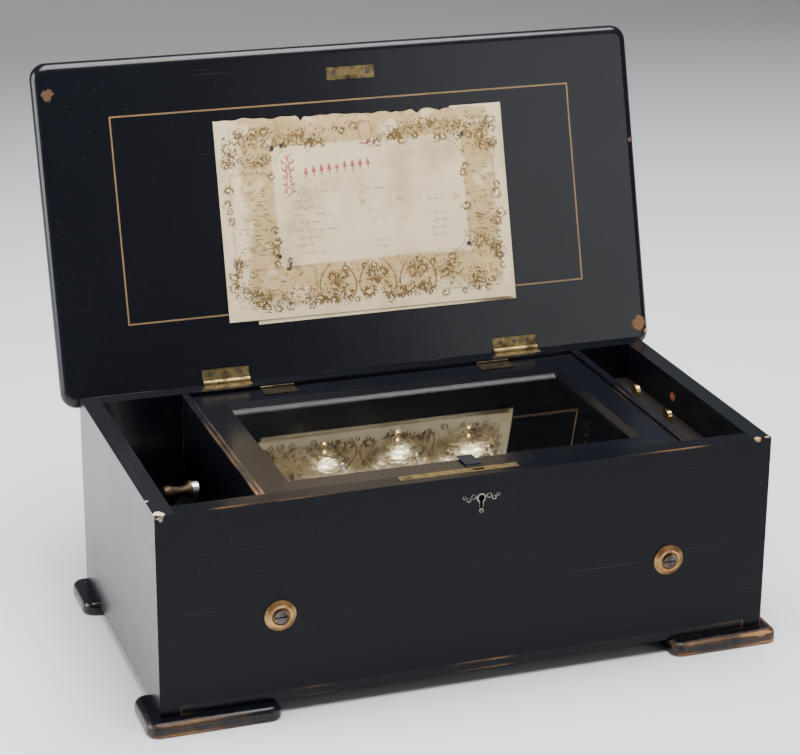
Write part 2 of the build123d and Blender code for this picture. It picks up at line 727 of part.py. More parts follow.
def worm_fly():
    """The endless screw on its upright arbor, with the two wings of the air brake."""
    rod = rod_z(worm_x, worm_y, 1.0, plate_top + 1.4, worm_z1 + 1.2)
    rod += rod_z(worm_x, worm_y, worm_core_r, train_z[2] - 7, train_z[2] + 7)
    pitch = math.pi * train_module[2] * worm_starts
    outline = Plane.XZ * Polyline((worm_core_r - 0.3, -0.45), (worm_core_r + 1.0, -0.18),
                                  (worm_core_r + 1.0, 0.18), (worm_core_r - 0.3, 0.45), close=True)
    for start in range(worm_starts):
        spiral = Helix(pitch=pitch, height=2 * worm_turns_half, radius=worm_core_r)
        thread = sweep(make_face(outline), path=spiral, is_frenet=True)
        turn = 360 * start / worm_starts
        rod += Pos(worm_x, worm_y, train_z[2] - worm_turns_half) * Rot(0, 0, turn) * thread
    for side in (-1, 1):
        x0 = worm_x + min(0, side * fly_r)
        rod += box(x0, x0 + fly_r, worm_y - 0.5, worm_y + 0.5, worm_z1 - 15, worm_z1 - 3)
    return rod


# ---- bells ----------------------------------------------------------------------------
def dome_outline(r, h, lip):
    """Half the outline of a dome: a straight skirt with an outward lip, then a quarter ellipse."""
    skirt = 2.4
    points = [(0, 0), (r + lip, 0), (r + lip, skirt / 2), (r, skirt)]
    for i in range(1, 12):
        a = math.radians(i * 7.5)
        points.append((r * math.cos(a), skirt + (h - skirt) * math.sin(a)))
    points.append((0, h))
    return make_face(Plane.XZ * Polyline(*points, close=True))


def bell(i):
    """A domed bell, hollow below, on the axis of its post."""
    r = bell_r[i]
    h = bell_top[i] - bell_rim
    outer = dome_outline(r, h, 0.8)
    inner = dome_outline(r - bell_t, h - bell_t, 0)
    dome = revolve(outer, Axis.Z) - revolve(inner, Axis.Z)
    return Pos(bell_x[i], bell_y, bell_rim) * dome - rod_z(bell_x[i], bell_y, 1.6, bell_rim, top_z)


def bells():
    return Compound([bell(i) for i in range(3)])


def bell_rail():
    """Posts with finials that carry the bells, and the rod that the hammers turn on."""
    pieces = []
    for i in range(3):
        top = bell_top[i]
        low = top - bell_t - 0.4
        outline = [(0, plate_top), (6, plate_top), (6, plate_top + 3), (3, plate_top + 6), (3, low),
                   (1.6, low), (1.6, top), (4.2, top), (3.0, top + 1.2), (1.7, top + 2.4), (2.3, top + 4.2),
                   (4.0, top + 6.2), (4.0, top + 7.6), (2.4, top + 9.2), (0, top + 9.8)]
        post = turned(outline, bell_x[i], bell_y)
        pieces.append(post)
    x0 = bell_x[0] - 16
    x1 = bell_x[2] + 26
    rail = rod_x(hammer_y, hammer_z, hammer_rod_r, x0, x1)
    for x in (x0, x1):
        rail += box(x - 2, x + 2, hammer_y - 4, hammer_y + 4, plate_top, hammer_z + 4)
    pieces.append(rail)
    return Compound(pieces)


def hammer(i):
    """A bell hammer: ball on a bent arm, hub on the rod, and a tail to the cylinder."""
    x = bell_x[i] + hammer_side
    hub = rod_x(hammer_y, hammer_z, 3.6, x - 4, x + 4)
    bend_y = hammer_y + 3.0
    bend_z = hammer_head_z - 3.5
    arm = slab_x([(hammer_y - 1.2, hammer_z), (hammer_y + 1.2, hammer_z), (bend_y + 1.0, bend_z - 1.0),
                  (hammer_head_y, hammer_head_z - 1.0), (hammer_head_y, hammer_head_z + 1.0),
                  (bend_y - 1.0, bend_z + 1.0)], x - 1, x + 1)
    tail = slab_x([(hammer_y, hammer_z - 1.4), (hammer_y, hammer_z + 1.4), (tail_y, tail_z + 0.8),
                   (tail_y, tail_z - 0.8)], x - 1, x + 1)
    ball = Pos(x, hammer_head_y, hammer_head_z) * Sphere(3.1)
    return hub + arm + tail + ball - rod_x(hammer_y, hammer_z, hammer_rod_r + run_gap, x - 6, x + 6)


# ---- control levers ---------------------------------------------------------------------
def control_lever(i):
    """A finger lever on a shaft that reaches into the movement bay as a detent arm."""
    y = finger_y[i]
    shaft = rod_x(y, finger_z, shaft_r, detent_x, in_w + shaft_seat - 0.3)
    hub = rod_x(y, finger_z, 5.5, finger_x - 3, finger_x + 3)
    stem = box(finger_x - 1.5, finger_x + 1.5, y - 2.5, y + 2.5, finger_z, finger_top - 6)
    pad = rod_x(y, finger_top - 6, 6.0, finger_x - 1.8, finger_x + 1.8)
    pad += box(finger_x - 1.8, finger_x + 1.8, y - 6, y + 6, finger_top - 12, finger_top - 6)
    detent = rod_x(y, finger_z, 4.5, detent_x, detent_x + 5)
    detent += box(detent_x, detent_x + 3, y - 2, y + 2, finger_z - detent_len[i], finger_z)
    return shaft + hub + stem + pad + detent


def pull_tab():
    x0 = tab_x - tab_w / 2
    return box(x0, x0 + tab_w, gy0 + 5, gy0 + frame_w + 2, glass_top + 0.1, glass_top + 1.3)


# ---- places tied to the driving sizes -----------------------------------------------------
lock_x0, lock_x1 = -35.0, 35.0
lock_z0 = top_z - 40.0
lock_deep = 8.0
selvage_x0, selvage_x1 = -60.0, 40.0
selvage_t = 1.5
selvage_y = -in_d - lock_deep / 2
selvage_screws = (-52.0, 37.6)
staple_y = selvage_y
strike_reach = pivot_y - staple_y + strike_from_staple
key_x, key_z = 5.0, top_z - 20.0
inlay_out = 0.25
leaf_gap = 0.25
leaf_screw_y = pivot_y - hinge_leaf + leaf_screw_in
wood_screw_r = 1.9
tack_places = ((-62.0, 200.0), (106.0, 198.0), (-72.0, 104.0), (104.0, 100.0))
gx0, gx1 = bay_x0 + frame_gap, bay_x1 - frame_gap
gy0, gy1 = -in_d + frame_gap, in_d - 1.8
pane_z1 = glass_top - frame_bevel
glass_pivot_y, glass_pivot_z = in_d - 1.8, glass_top + 1.4
glass_hinge_x = (-90.0, 110.0)
tab_x, tab_w = 8.0, 15.0
plate_screw_z = plate_top - plate_t / 2
plate_screw_r = 2.4
back_head_r, back_head_h = 5.5, 3.4
drive_distance = barrel_module * (great_teeth + drive_pinion_teeth) / 2
barrel_z = plate_top + 14.0
barrel_y = cyl_y + math.sqrt(drive_distance ** 2 - (cyl_z - barrel_z) ** 2)
drive_angle = math.degrees(math.atan2(cyl_z - barrel_z, cyl_y - barrel_y))
great_tip = barrel_module * great_teeth / 2 + barrel_module
left_bridge_x = -162.0
right_bridge_x = -115.0
click_y, click_z = barrel_y + 24.0, barrel_z + 12.0
cyl_arbor_r = 3.0
pinion_x0 = barrel_x1 - 1.0
left_post_x, right_post_x = -108.0, 128.0
wheel_x = 121.0
snail_y = cyl_y + 14.0
snail_stud_r = 1.5
cyl_wall = 2.5
cyl_end = 4.0
comb_y0, comb_y1 = -92.0, -70.0
comb_tip_gap = 0.4
comb_screw_x = tuple(cyl_x0 + 12 + i * (cyl_x1 - cyl_x0 - 24) / 4 for i in range(5))
train_module = (0.7, 0.6, 0.9)
train_teeth = (64, 45, 24)
pinion_teeth = (0, 16, 15)
train_angle = (195.0, 190.0, 180.0)
pivot_r = 1.5
train_y, train_z = [cyl_y], [cyl_z]
for stage in (1, 2):
    reach = train_module[stage - 1] * (train_teeth[stage - 1] + pinion_teeth[stage]) / 2
    bearing = math.radians(train_angle[stage - 1])
    train_y.append(train_y[-1] + reach * math.cos(bearing))
    train_z.append(train_z[-1] + reach * math.sin(bearing))
frame_x0, frame_x1 = 126.0, 153.0
worm_core_r = 2.2
worm_starts = 2
worm_turns_half = math.pi * train_module[2] * worm_starts
worm_mesh = 0.6
worm_x = 145.0
worm_y = train_y[2] - train_module[2] * (train_teeth[2] / 2 + 0.85) - worm_core_r - 1.0 + worm_mesh
worm_z1 = plate_top + 42.0
fly_r = 7.0
hammer_rod_r = 1.6
tail_y, tail_z = cyl_y + cyl_r + 1.4, cyl_z - 5.0
shaft_r = 2.5
shaft_seat = 5.0
detent_x = 172.0
detent_len = (20.0, 14.0)

# ---- the open lid's reach sets the origin ---------------------------------------------------
tilt = math.radians(lid_open - 90)
lid_top_reach = pivot_y - lid_front
back_most = pivot_y + lid_top_reach * math.sin(tilt) + lid_t * math.cos(tilt)
origin_y = (back_most - half_d - foot_out) / 2

os.makedirs("parts", exist_ok=True)
write("case_front", case_front())
write("case_back", case_back())
write("case_left_end", case_end(-1))
write("case_right_end", case_end(1))
write("base_board", box(-in_w, in_w, -half_d, half_d, foot_h, floor_z))
for side_y, end_name in ((-1, "front"), (1, "back")):
    write("foot_" + end_name + "_left", foot(-1, side_y, foot_len_left))
    write("foot_" + end_name + "_right", foot(1, side_y, foot_len_right))
write("left_partition", left_partition())
write("right_partition", right_partition())
write("control_board", control_board())
write("case_battens", Compound(battens() + bearers()))
write("lid_board", opened(lid_board()))
write("lid_stringing", opened(stringing_ring()))
write("strike_plate", opened(strike_plate()))
write("lid_hinge_leaves", opened(lid_leaves()))
write("case_hinge_leaves", case_leaves())
write("lid_fasteners", opened(Compound(lid_screws() + tacks())))
write("case_screws", case_screws())
write("backing_sheet", opened(sheet(-96, 145, 46, 226, 0)))
write("tune_sheet", opened(sheet(-122, 142, 50, 224, 1)))
write("glass_lid_rails", glass_rails())
write("glass_lid_stiles", glass_stiles())
write("glass_pane", glass_pane())
write("glass_lid_hinge_leaves", glass_lid_leaves())
write("glass_case_hinge_leaves", glass_case_leaves())
write("pull_tab", pull_tab())
write("lock_case", lock_case())
write("lock_bolt", lock_bolt())
write("keyhole_escutcheon", escutcheon())
write("bedplate", bedplate())
write("bedplate_screws", plate_screws())
write("bedplate_washers", washers())
write("barrel_bridges", barrel_bridges())
write("spring_barrel", spring_barrel())
write("barrel_arbor", barrel_arbor())
write("mainspring", mainspring())
write("ratchet_wheel", ratchet_wheel())
write("ratchet_click", click())
write("winding_lever", winding_lever())
write("lever_handle", lever_handle())
write("music_cylinder", cylinder())
write("cylinder_arbor", cylinder_arbor())
write("cylinder_bearings", cylinder_bearings())
write("tune_snail", tune_snail())
write("comb_base", comb_base())
write("music_comb", comb())
write("comb_screws", comb_screws())
write("governor_frame", governor_frame())
write("governor_wheel_1", train_wheel(1, wheel_x - 1, 133, 135))
write("governor_wheel_2", train_wheel(2, 131.5, 143.8, 146.2))
write("worm_fly", worm_fly())
write("bells", bells())
write("bell_rail", bell_rail())
for place in range(3):
    write("bell_hammer_" + str(place + 1), hammer(place))
write("start_stop_lever", control_lever(0))
write("change_repeat_lever", control_lever(1))
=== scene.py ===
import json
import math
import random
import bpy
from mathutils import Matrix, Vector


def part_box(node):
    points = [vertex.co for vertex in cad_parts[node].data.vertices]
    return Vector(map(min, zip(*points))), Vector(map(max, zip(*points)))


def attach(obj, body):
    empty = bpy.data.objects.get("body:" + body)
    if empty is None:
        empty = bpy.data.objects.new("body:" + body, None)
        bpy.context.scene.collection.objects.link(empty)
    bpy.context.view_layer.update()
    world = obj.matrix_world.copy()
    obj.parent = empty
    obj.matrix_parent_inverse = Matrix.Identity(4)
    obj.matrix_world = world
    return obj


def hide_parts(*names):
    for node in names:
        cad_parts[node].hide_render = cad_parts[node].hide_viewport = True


bl_info = {
    "name": "Musical box with bells in sight",
    "version": (1, 0, 0),
    "blender": (4, 5, 0),
    "location": "3D View > Sidebar > Musical Box",
    "description": "Finishes and fine pieces for a lever-wound musical box",
    "category": "Object",
}

import bpy
from bpy.props import FloatProperty, FloatVectorProperty, IntProperty, PointerProperty
from mathutils import Matrix, Vector

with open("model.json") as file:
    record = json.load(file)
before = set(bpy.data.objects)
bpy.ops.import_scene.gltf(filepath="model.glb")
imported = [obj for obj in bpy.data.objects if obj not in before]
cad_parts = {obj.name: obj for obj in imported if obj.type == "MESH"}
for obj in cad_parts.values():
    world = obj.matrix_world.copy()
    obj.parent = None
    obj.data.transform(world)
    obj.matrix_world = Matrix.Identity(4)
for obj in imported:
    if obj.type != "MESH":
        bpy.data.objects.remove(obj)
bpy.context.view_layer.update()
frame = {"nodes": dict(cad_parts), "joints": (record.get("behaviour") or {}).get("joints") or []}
MM = 0.001
PIN_ROW_PITCH = 0.0026
JOINTS = {joint["name"]: joint for joint in frame["joints"]}


# ---- the frame's own places --------------------------------------------------------
def joint_place(name):
    """A hinge's place at rest."""
    return Vector(JOINTS[name]["pos_m"])


LID_PIVOT = joint_place("lid_hinge")
LID_TILT = math.radians(-JOINTS["lid_hinge"]["range_deg"][0] - 90)
LID_UP = Vector((0, math.sin(LID_TILT), math.cos(LID_TILT)))
LID_OUT = Vector((0, -math.cos(LID_TILT), math.sin(LID_TILT)))


def on_lid(x, reach, height=0.0):
    """A point of the open lid's inner face, by its reach up the lid from the hinge."""
    return Vector((x, LID_PIVOT.y, LID_PIVOT.z)) + LID_UP * reach + LID_OUT * height


def lid_reaches(node):
    """A thin lid piece's lowest and highest reach from the hinge."""
    low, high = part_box(node)
    return (low[2] - LID_PIVOT.z) / math.cos(LID_TILT), (high[2] - LID_PIVOT.z) / math.cos(LID_TILT)


# ---- settings ------------------------------------------------------------------------
def colour(name, text, value):
    return FloatVectorProperty(name=name, description=text, subtype="COLOR", size=3, min=0, max=1,
                               default=value)


def length(name, text, value):
    return FloatProperty(name=name, description=text, unit="LENGTH", default=value)


def amount(name, text, value):
    return FloatProperty(name=name, description=text, subtype="FACTOR", min=0, max=1, default=value)


class CaseFinish(bpy.types.PropertyGroup):
    # the black's blue cast is a painted reflection: it stands for the bluish sheen on the polish
    ebony_and_blue_sheen: colour("Ebonised black with painted blue sheen", "Colour of the polished black case", (0.0034, 0.0040, 0.0066))
    bare: colour("Bare wood", "Colour of the wood where the black is worn away", (0.46, 0.24, 0.10))
    inside: colour("Inner stain", "Colour of the stained wood inside the bays", (0.0095, 0.0058, 0.0040))
    inlay: colour("Stringing", "Colour of the thin line let into the lid", (0.40, 0.24, 0.10))
    wear_width: length("Wear width", "How far rubbing reaches in from an edge", 1.6 * MM)
    polish: amount("Polish roughness", "Roughness of the French polish", 0.17)


class MetalFinish(bpy.types.PropertyGroup):
    brass: colour("Brass", "Colour of clean brass", (0.72, 0.50, 0.20))
    brown: colour("Tarnish", "Colour of old brass", (0.20, 0.12, 0.05))
    bell: colour("Bell metal", "Colour of the engraved bells", (0.66, 0.56, 0.38))
    steel: colour("Steel", "Colour of polished steel", (0.50, 0.50, 0.51))
    iron: colour("Bedplate", "Colour of the lacquered cast plate", (0.30, 0.22, 0.11))


class SheetFinish(bpy.types.PropertyGroup):
    paper: colour("Paper", "Colour of the aged paper", (0.93, 0.76, 0.47))
    ink: colour("Border ink", "Colour of the printed border", (0.20, 0.115, 0.035))
    flourish: colour("Flourish", "Colour of the ornament at the head", (0.62, 0.13, 0.11))
    ripple: length("Ripple", "How far the paper stands off the lid", 1.6 * MM)


class WorksDetail(bpy.types.PropertyGroup):
    pins: IntProperty(name="Pins", description="Steel pins round the cylinder", default=2400, min=100,
                      max=6000)
    pin_length: length("Pin length", "How far a pin stands out of the cylinder", 0.9 * MM)
    pin_radius: length("Pin radius", "Half a pin's thickness", 0.16 * MM)
    seed: IntProperty(name="Seed", description="Chooses the tune", default=7)


# ---- shader building ------------------------------------------------------------------
def put(tree, kind, sockets=None, **settings):
    """A node with its settings and its sockets' values or links."""
    node = tree.nodes.new(kind)
    for key, value in settings.items():
        setattr(node, key, value)
    for key, value in (sockets or {}).items():
        if isinstance(value, bpy.types.NodeSocket):
            tree.links.new(value, node.inputs[key])
        else:
            node.inputs[key].default_value = value
    return node


def calc(tree, operation, a, b=0.0, c=0.0):
    node = put(tree, "ShaderNodeMath", {0: a, 1: b, 2: c}, operation=operation)
    return node.outputs[0]


def blend(tree, factor, first, second):
    """Mixes two colours, each a socket or a plain colour."""
    pick = [v if isinstance(v, bpy.types.NodeSocket) else (*v, 1.0) for v in (first, second)]
    return put(tree, "ShaderNodeMix", {0: factor, 6: pick[0], 7: pick[1]}, data_type="RGBA").outputs[2]


def fade(tree, value, low, high):
    """0 below low, 1 above high, smooth between."""
    sockets = {"Value": value, "From Min": low, "From Max": high}
    return put(tree, "ShaderNodeMapRange", sockets, interpolation_type="SMOOTHSTEP").outputs[0]


def noise(tree, place, scale, detail=4.0, rough=0.55, warp=0.0):
    sockets = {"Vector": place, "Scale": scale, "Detail": detail, "Roughness": rough, "Distortion": warp}
    return put(tree, "ShaderNodeTexNoise", sockets).outputs["Fac"]


def stretch(tree, place, scale):
    return put(tree, "ShaderNodeMapping", {"Vector": place, "Scale": scale}).outputs[0]


def bump(tree, height, distance, strength=1.0):
    return put(tree, "ShaderNodeBump", {"Height": height, "Distance": distance,
                                        "Strength": strength}).outputs[0]


def new_group(name, inputs, outputs):
    """A shader group with named sockets; its kinds are Float, Vector or Color."""
    group = bpy.data.node_groups.new(name, "ShaderNodeTree")
    for label, kind, value in inputs:
        socket = group.interface.new_socket(label, in_out="INPUT", socket_type="NodeSocket" + kind)
        socket.default_value = value
    for label, kind in outputs:
        group.interface.new_socket(label, in_out="OUTPUT", socket_type="NodeSocket" + kind)
    return group, put(group, "NodeGroupInput").outputs, put(group, "NodeGroupOutput").inputs


def use(tree, name, sockets):
    node = tree.nodes.new("ShaderNodeGroup")
    node.node_tree = bpy.data.node_groups[name]
    for key, value in sockets.items():
        if isinstance(value, bpy.types.NodeSocket):
            tree.links.new(value, node.inputs[key])
        else:
            node.inputs[key].default_value = value
    return node.outputs


def build_edge_wear():
    """Rubbed edges of a block: how near a point is to any of the block's edges, broken up."""
    tree, given, out = new_group(
        "Edge wear",
        [("Place", "Vector", (0, 0, 0)), ("Low", "Vector", (0, 0, 0)), ("High", "Vector", (1, 1, 1)),
         ("Width", "Float", 0.002), ("Breakup", "Float", 60.0), ("Amount", "Float", 0.5)],
        [("Wear", "Float")])
    below = put(tree, "ShaderNodeVectorMath", {0: given["Place"], 1: given["Low"]}, operation="SUBTRACT")
    above = put(tree, "ShaderNodeVectorMath", {0: given["High"], 1: given["Place"]}, operation="SUBTRACT")
    near = put(tree, "ShaderNodeVectorMath", {0: below.outputs[0], 1: above.outputs[0]},
               operation="MINIMUM")
    x, y, z = put(tree, "ShaderNodeSeparateXYZ", {0: near.outputs[0]}).outputs
    least = calc(tree, "MINIMUM", x, y)
    most = calc(tree, "MAXIMUM", x, y)
    second = calc(tree, "MAXIMUM", least, calc(tree, "MINIMUM", most, z))
    rubbed = noise(tree, given["Place"], given["Breakup"], 6.0, 0.65)
    patches = noise(tree, given["Place"], calc(tree, "MULTIPLY", given["Breakup"], 0.12), 2.0)
    reach = calc(tree, "MULTIPLY", given["Width"], calc(tree, "MULTIPLY", rubbed, patches))
    reach = calc(tree, "MULTIPLY", reach, 6.0)
    hit = fade(tree, calc(tree, "SUBTRACT", reach, second), 0.0, 0.0007)
    chosen = fade(tree, calc(tree, "ADD", patches, given["Amount"]), 0.92, 1.12)
    tree.links.new(calc(tree, "MULTIPLY", hit, chosen), out["Wear"])


def build_grain():
    """Long fibres along a chosen axis, with slow changes of tone."""
    tree, given, out = new_group(
        "Wood grain", [("Place", "Vector", (0, 0, 0)), ("Scale", "Float", 1.0)],
        [("Tone", "Float"), ("Height", "Float")])
    sized = put(tree, "ShaderNodeVectorMath", {0: given["Place"], "Scale": given["Scale"]},
                operation="SCALE").outputs[0]
    fibres = noise(tree, stretch(tree, sized, (14, 420, 420)), 1.0, 5.0, 0.6)
    bands = noise(tree, stretch(tree, sized, (3, 60, 60)), 1.0, 3.0, 0.5, 0.8)
    tree.links.new(calc(tree, "ADD", calc(tree, "MULTIPLY", fibres, 0.4),
                        calc(tree, "MULTIPLY", bands, 0.6)), out["Tone"])
    tree.links.new(fibres, out["Height"])


def build_scratches():
    """Fine crossing scratches, dents and dust specks."""
    tree, given, out = new_group(
        "Scratches", [("Place", "Vector", (0, 0, 0)), ("Amount", "Float", 0.5)],
        [("Lines", "Float"), ("Specks", "Float")])
    total = None
    for turn, scale in (((0.3, 0.9, 0.5), (9, 700, 700)), ((1.1, 0.2, -0.7), (700, 8, 700)),
                        ((0.2, 0.7, 1.9), (6, 500, 500))):
        turned = put(tree, "ShaderNodeMapping",
                     {"Vector": given["Place"], "Rotation": turn, "Scale": scale}).outputs[0]
        line = fade(tree, noise(tree, turned, 1.0, 2.0, 0.4), 0.715, 0.76)
        total = line if total is None else calc(tree, "MAXIMUM", total, line)
    area = fade(tree, noise(tree, given["Place"], 7.0, 3.0), 0.45, 0.62)
    tree.links.new(calc(tree, "MULTIPLY", calc(tree, "MULTIPLY", total, area), given["Amount"]),
                   out["Lines"])
    cells = put(tree, "ShaderNodeTexVoronoi",
                {"Vector": given["Place"], "Scale": 150.0}).outputs["Distance"]
    dots = calc(tree, "SUBTRACT", 1.0, fade(tree, cells, 0.05, 0.10))
    tree.links.new(calc(tree, "MULTIPLY", dots, given["Amount"]), out["Specks"])


def build_tarnish():
    """Brown blooms, fingerprints and fine polishing marks on old metal."""
    tree, given, out = new_group(
        "Tarnish", [("Place", "Vector", (0, 0, 0)), ("Scale", "Float", 90.0)],
        [("Bloom", "Float"), ("Marks", "Float")])
    cloud = noise(tree, given["Place"], given["Scale"], 6.0, 0.62, 0.4)
    fine = noise(tree, given["Place"], calc(tree, "MULTIPLY", given["Scale"], 9.0), 3.0)
    bloom = calc(tree, "ADD", calc(tree, "MULTIPLY", cloud, 0.75), calc(tree, "MULTIPLY", fine, 0.25))
    tree.links.new(fade(tree, bloom, 0.38, 0.64), out["Bloom"])
    tree.links.new(fine, out["Marks"])


def material(name):
    """A new material with one Principled shader; returns it, its tree, the shader and object coordinates."""
    made = bpy.data.materials.new(name)
    made.use_nodes = True
    tree = made.node_tree
    shader = tree.nodes["Principled BSDF"]
    place = put(tree, "ShaderNodeTexCoord").outputs["Object"]
    return made, tree, shader, place


def drive(tree, shader, **sockets):
    """Links or sets the shader's sockets; underscores stand for spaces."""
    for key, value in sockets.items():
        socket = shader.inputs[key.replace("_", " ")]
        if isinstance(value, bpy.types.NodeSocket):
            tree.links.new(value, socket)
        else:
            socket.default_value = value


def dress(node, made):
    """Gives a CAD node its finish."""
    mesh = frame["nodes"][node].data
    mesh.materials.clear()
    mesh.materials.append(made)


# ---- materials -------------------------------------------------------------------------
def lid_place(tree, place):
    """Object coordinates turned so that z runs up the open lid from its hinge."""
    shifted = put(tree, "ShaderNodeVectorMath", {0: place, 1: tuple(LID_PIVOT)},
                  operation="SUBTRACT").outputs[0]
    return put(tree, "ShaderNodeMapping", {"Vector": shifted, "Rotation": (LID_TILT, 0, 0)}).outputs[0]


def lid_box(node):
    """A lid piece's box in the same turned coordinates."""
    turn = Matrix.Rotation(LID_TILT, 3, "X")
    places = [turn @ (v.co - LID_PIVOT) for v in frame["nodes"][node].data.vertices]
    return [tuple(f(p[i] for p in places) for i in range(3)) for f in (min, max)]


def ebonised(name, box, amount=0.5, width=1.0, on_the_lid=False, along="X", bare=None, sheen=1.0,
             gloss=0.35, chips=()):
    """Black polish over wood, with a painted blue sheen in its black, worn to the wood along the edges of
    one block and at chosen chips.
    """
    finish = bpy.context.scene.box_case
    made, tree, shader, place = material(name)
    if on_the_lid:
        place = lid_place(tree, place)
    turned = place
    if along == "Y":
        turned = put(tree, "ShaderNodeMapping",
                     {"Vector": place, "Rotation": (0, 0, math.pi / 2)}).outputs[0]
    tone, fibres = use(tree, "Wood grain", {"Place": turned, "Scale": 1.0})
    sockets = {"Place": place, "Low": box[0], "High": box[1], "Breakup": 85.0, "Amount": amount}
    worn = use(tree, "Edge wear", {**sockets, "Width": finish.wear_width * width})["Wear"]
    rubbed = use(tree, "Edge wear", {**sockets, "Width": finish.wear_width * width * 1.9,
                                     "Amount": amount + 0.06})["Wear"]
    lines, specks = use(tree, "Scratches", {"Place": place, "Amount": 0.7})
    cloud = noise(tree, place, 9.0, 5.0)
    # the polish's black carries a blue cast, a painted reflection of the bluish sheen, on every piece that
    # uses it
    ebony_and_blue_sheen = tuple(finish.ebony_and_blue_sheen)
    lighter = tuple(1.45 * v for v in ebony_and_blue_sheen)
    base = blend(tree, calc(tree, "MULTIPLY", cloud, 0.8), ebony_and_blue_sheen, lighter)
    base = blend(tree, calc(tree, "MULTIPLY", rubbed, 0.6), base, (0.085, 0.043, 0.020))
    base = blend(tree, calc(tree, "MULTIPLY", lines, 0.22), base, (0.10, 0.09, 0.08))
    base = blend(tree, calc(tree, "MULTIPLY", specks, 0.20), base, (0.20, 0.17, 0.14))
    shade = blend(tree, tone, tuple(0.55 * v for v in bare or finish.bare), tuple(bare or finish.bare))
    base = blend(tree, worn, base, shade)
    for middle, radius, tint, depth in chips:
        away = put(tree, "ShaderNodeVectorMath", {0: place, 1: middle},
                   operation="DISTANCE").outputs["Value"]
        ragged = calc(tree, "ADD", away, calc(tree, "MULTIPLY", noise(tree, place, 260.0, 4.0), radius))
        chip = calc(tree, "SUBTRACT", 1.0,
                    fade(tree, ragged, radius, radius * (1.12 if depth > 0.6 else 2.0)))
        chip = calc(tree, "MULTIPLY", chip, depth)
        base = blend(tree, chip, base, tint)
        worn = calc(tree, "MAXIMUM", worn, chip)
    rough = calc(tree, "ADD", finish.polish, calc(tree, "MULTIPLY", cloud, 0.16 * sheen))
    rough = calc(tree, "ADD", rough, calc(tree, "MULTIPLY", calc(tree, "MAXIMUM", lines, rubbed), 0.30))
    rough = calc(tree, "ADD", rough, calc(tree, "MULTIPLY", worn, 0.45))
    dents = noise(tree, place, 38.0, 4.0)
    height = calc(tree, "ADD", calc(tree, "MULTIPLY", fibres, 0.30), calc(tree, "MULTIPLY", dents, 0.9))
    height = calc(tree, "SUBTRACT", height, calc(tree, "MULTIPLY", worn, 1.6))
    height = calc(tree, "SUBTRACT", height, calc(tree, "MULTIPLY", lines, 0.15))
    drive(tree, shader, Base_Color=base, Roughness=rough, Normal=bump(tree, height, 0.00022, 0.55),
          Coat_Weight=0.08)
    shader.inputs["Coat Roughness"].default_value = 0.10
    shader.inputs["Specular IOR Level"].default_value = gloss
    return made


def stained(name, tint, dust=0.35, rough=0.6, along="X"):
    """Plain stained wood with dust in it."""
    made, tree, shader, place = material(name)
    turned = place
    if along == "Y":
        turned = put(tree, "ShaderNodeMapping",
                     {"Vector": place, "Rotation": (0, 0, math.pi / 2)}).outputs[0]
    tone, fibres = use(tree, "Wood grain", {"Place": turned, "Scale": 0.8})
    lines, specks = use(tree, "Scratches", {"Place": place, "Amount": dust})
    base = blend(tree, tone, tuple(0.45 * v for v in tint), tuple(1.3 * v for v in tint))
    base = blend(tree, calc(tree, "MAXIMUM", lines, specks), base, (0.25, 0.20, 0.15))
    drive(tree, shader, Base_Color=base, Roughness=rough, Normal=bump(tree, fibres, 0.0003, 0.7))
    return made


def metal(name, clean, dull, bloom=0.6, rough=0.28, scale=90.0, grain=0.0, turned_on=None):
    """Metal with old colour in it; turned_on adds lathe rings about an axis through a point."""
    made, tree, shader, place = material(name)
    cloud, marks = use(tree, "Tarnish", {"Place": place, "Scale": scale})
    lines, specks = use(tree, "Scratches", {"Place": stretch(tree, place, (3, 3, 3)), "Amount": 0.6})
    base = blend(tree, calc(tree, "MULTIPLY", cloud, bloom), clean, dull)
    base = blend(tree, calc(tree, "MULTIPLY", specks, 0.5), base, tuple(0.4 * v for v in dull))
    height = calc(tree, "ADD", calc(tree, "MULTIPLY", marks, 0.4), calc(tree, "MULTIPLY", lines, -0.5))
    if turned_on:
        middle, axis = turned_on
        away = put(tree, "ShaderNodeVectorMath", {0: place, 1: middle}, operation="SUBTRACT").outputs[0]
        flat = put(tree, "ShaderNodeVectorMath", {0: away, 1: axis}, operation="MULTIPLY").outputs[0]
        radius = put(tree, "ShaderNodeVectorMath", {0: flat}, operation="LENGTH").outputs["Value"]
        rings = noise(tree, put(tree, "ShaderNodeCombineXYZ", {0: radius}).outputs[0], 4000.0, 2.0)
        height = calc(tree, "ADD", height, calc(tree, "MULTIPLY", rings, 0.8))
    if grain:
        height = calc(tree, "ADD", height, calc(tree, "MULTIPLY", noise(tree, place, 1400.0, 3.0), grain))
    rough_out = calc(tree, "ADD", rough, calc(tree, "MULTIPLY", cloud, 0.25))
    drive(tree, shader, Base_Color=base, Roughness=rough_out, Metallic=1.0,
          Normal=bump(tree, height, 0.00006, 0.6))
    return made


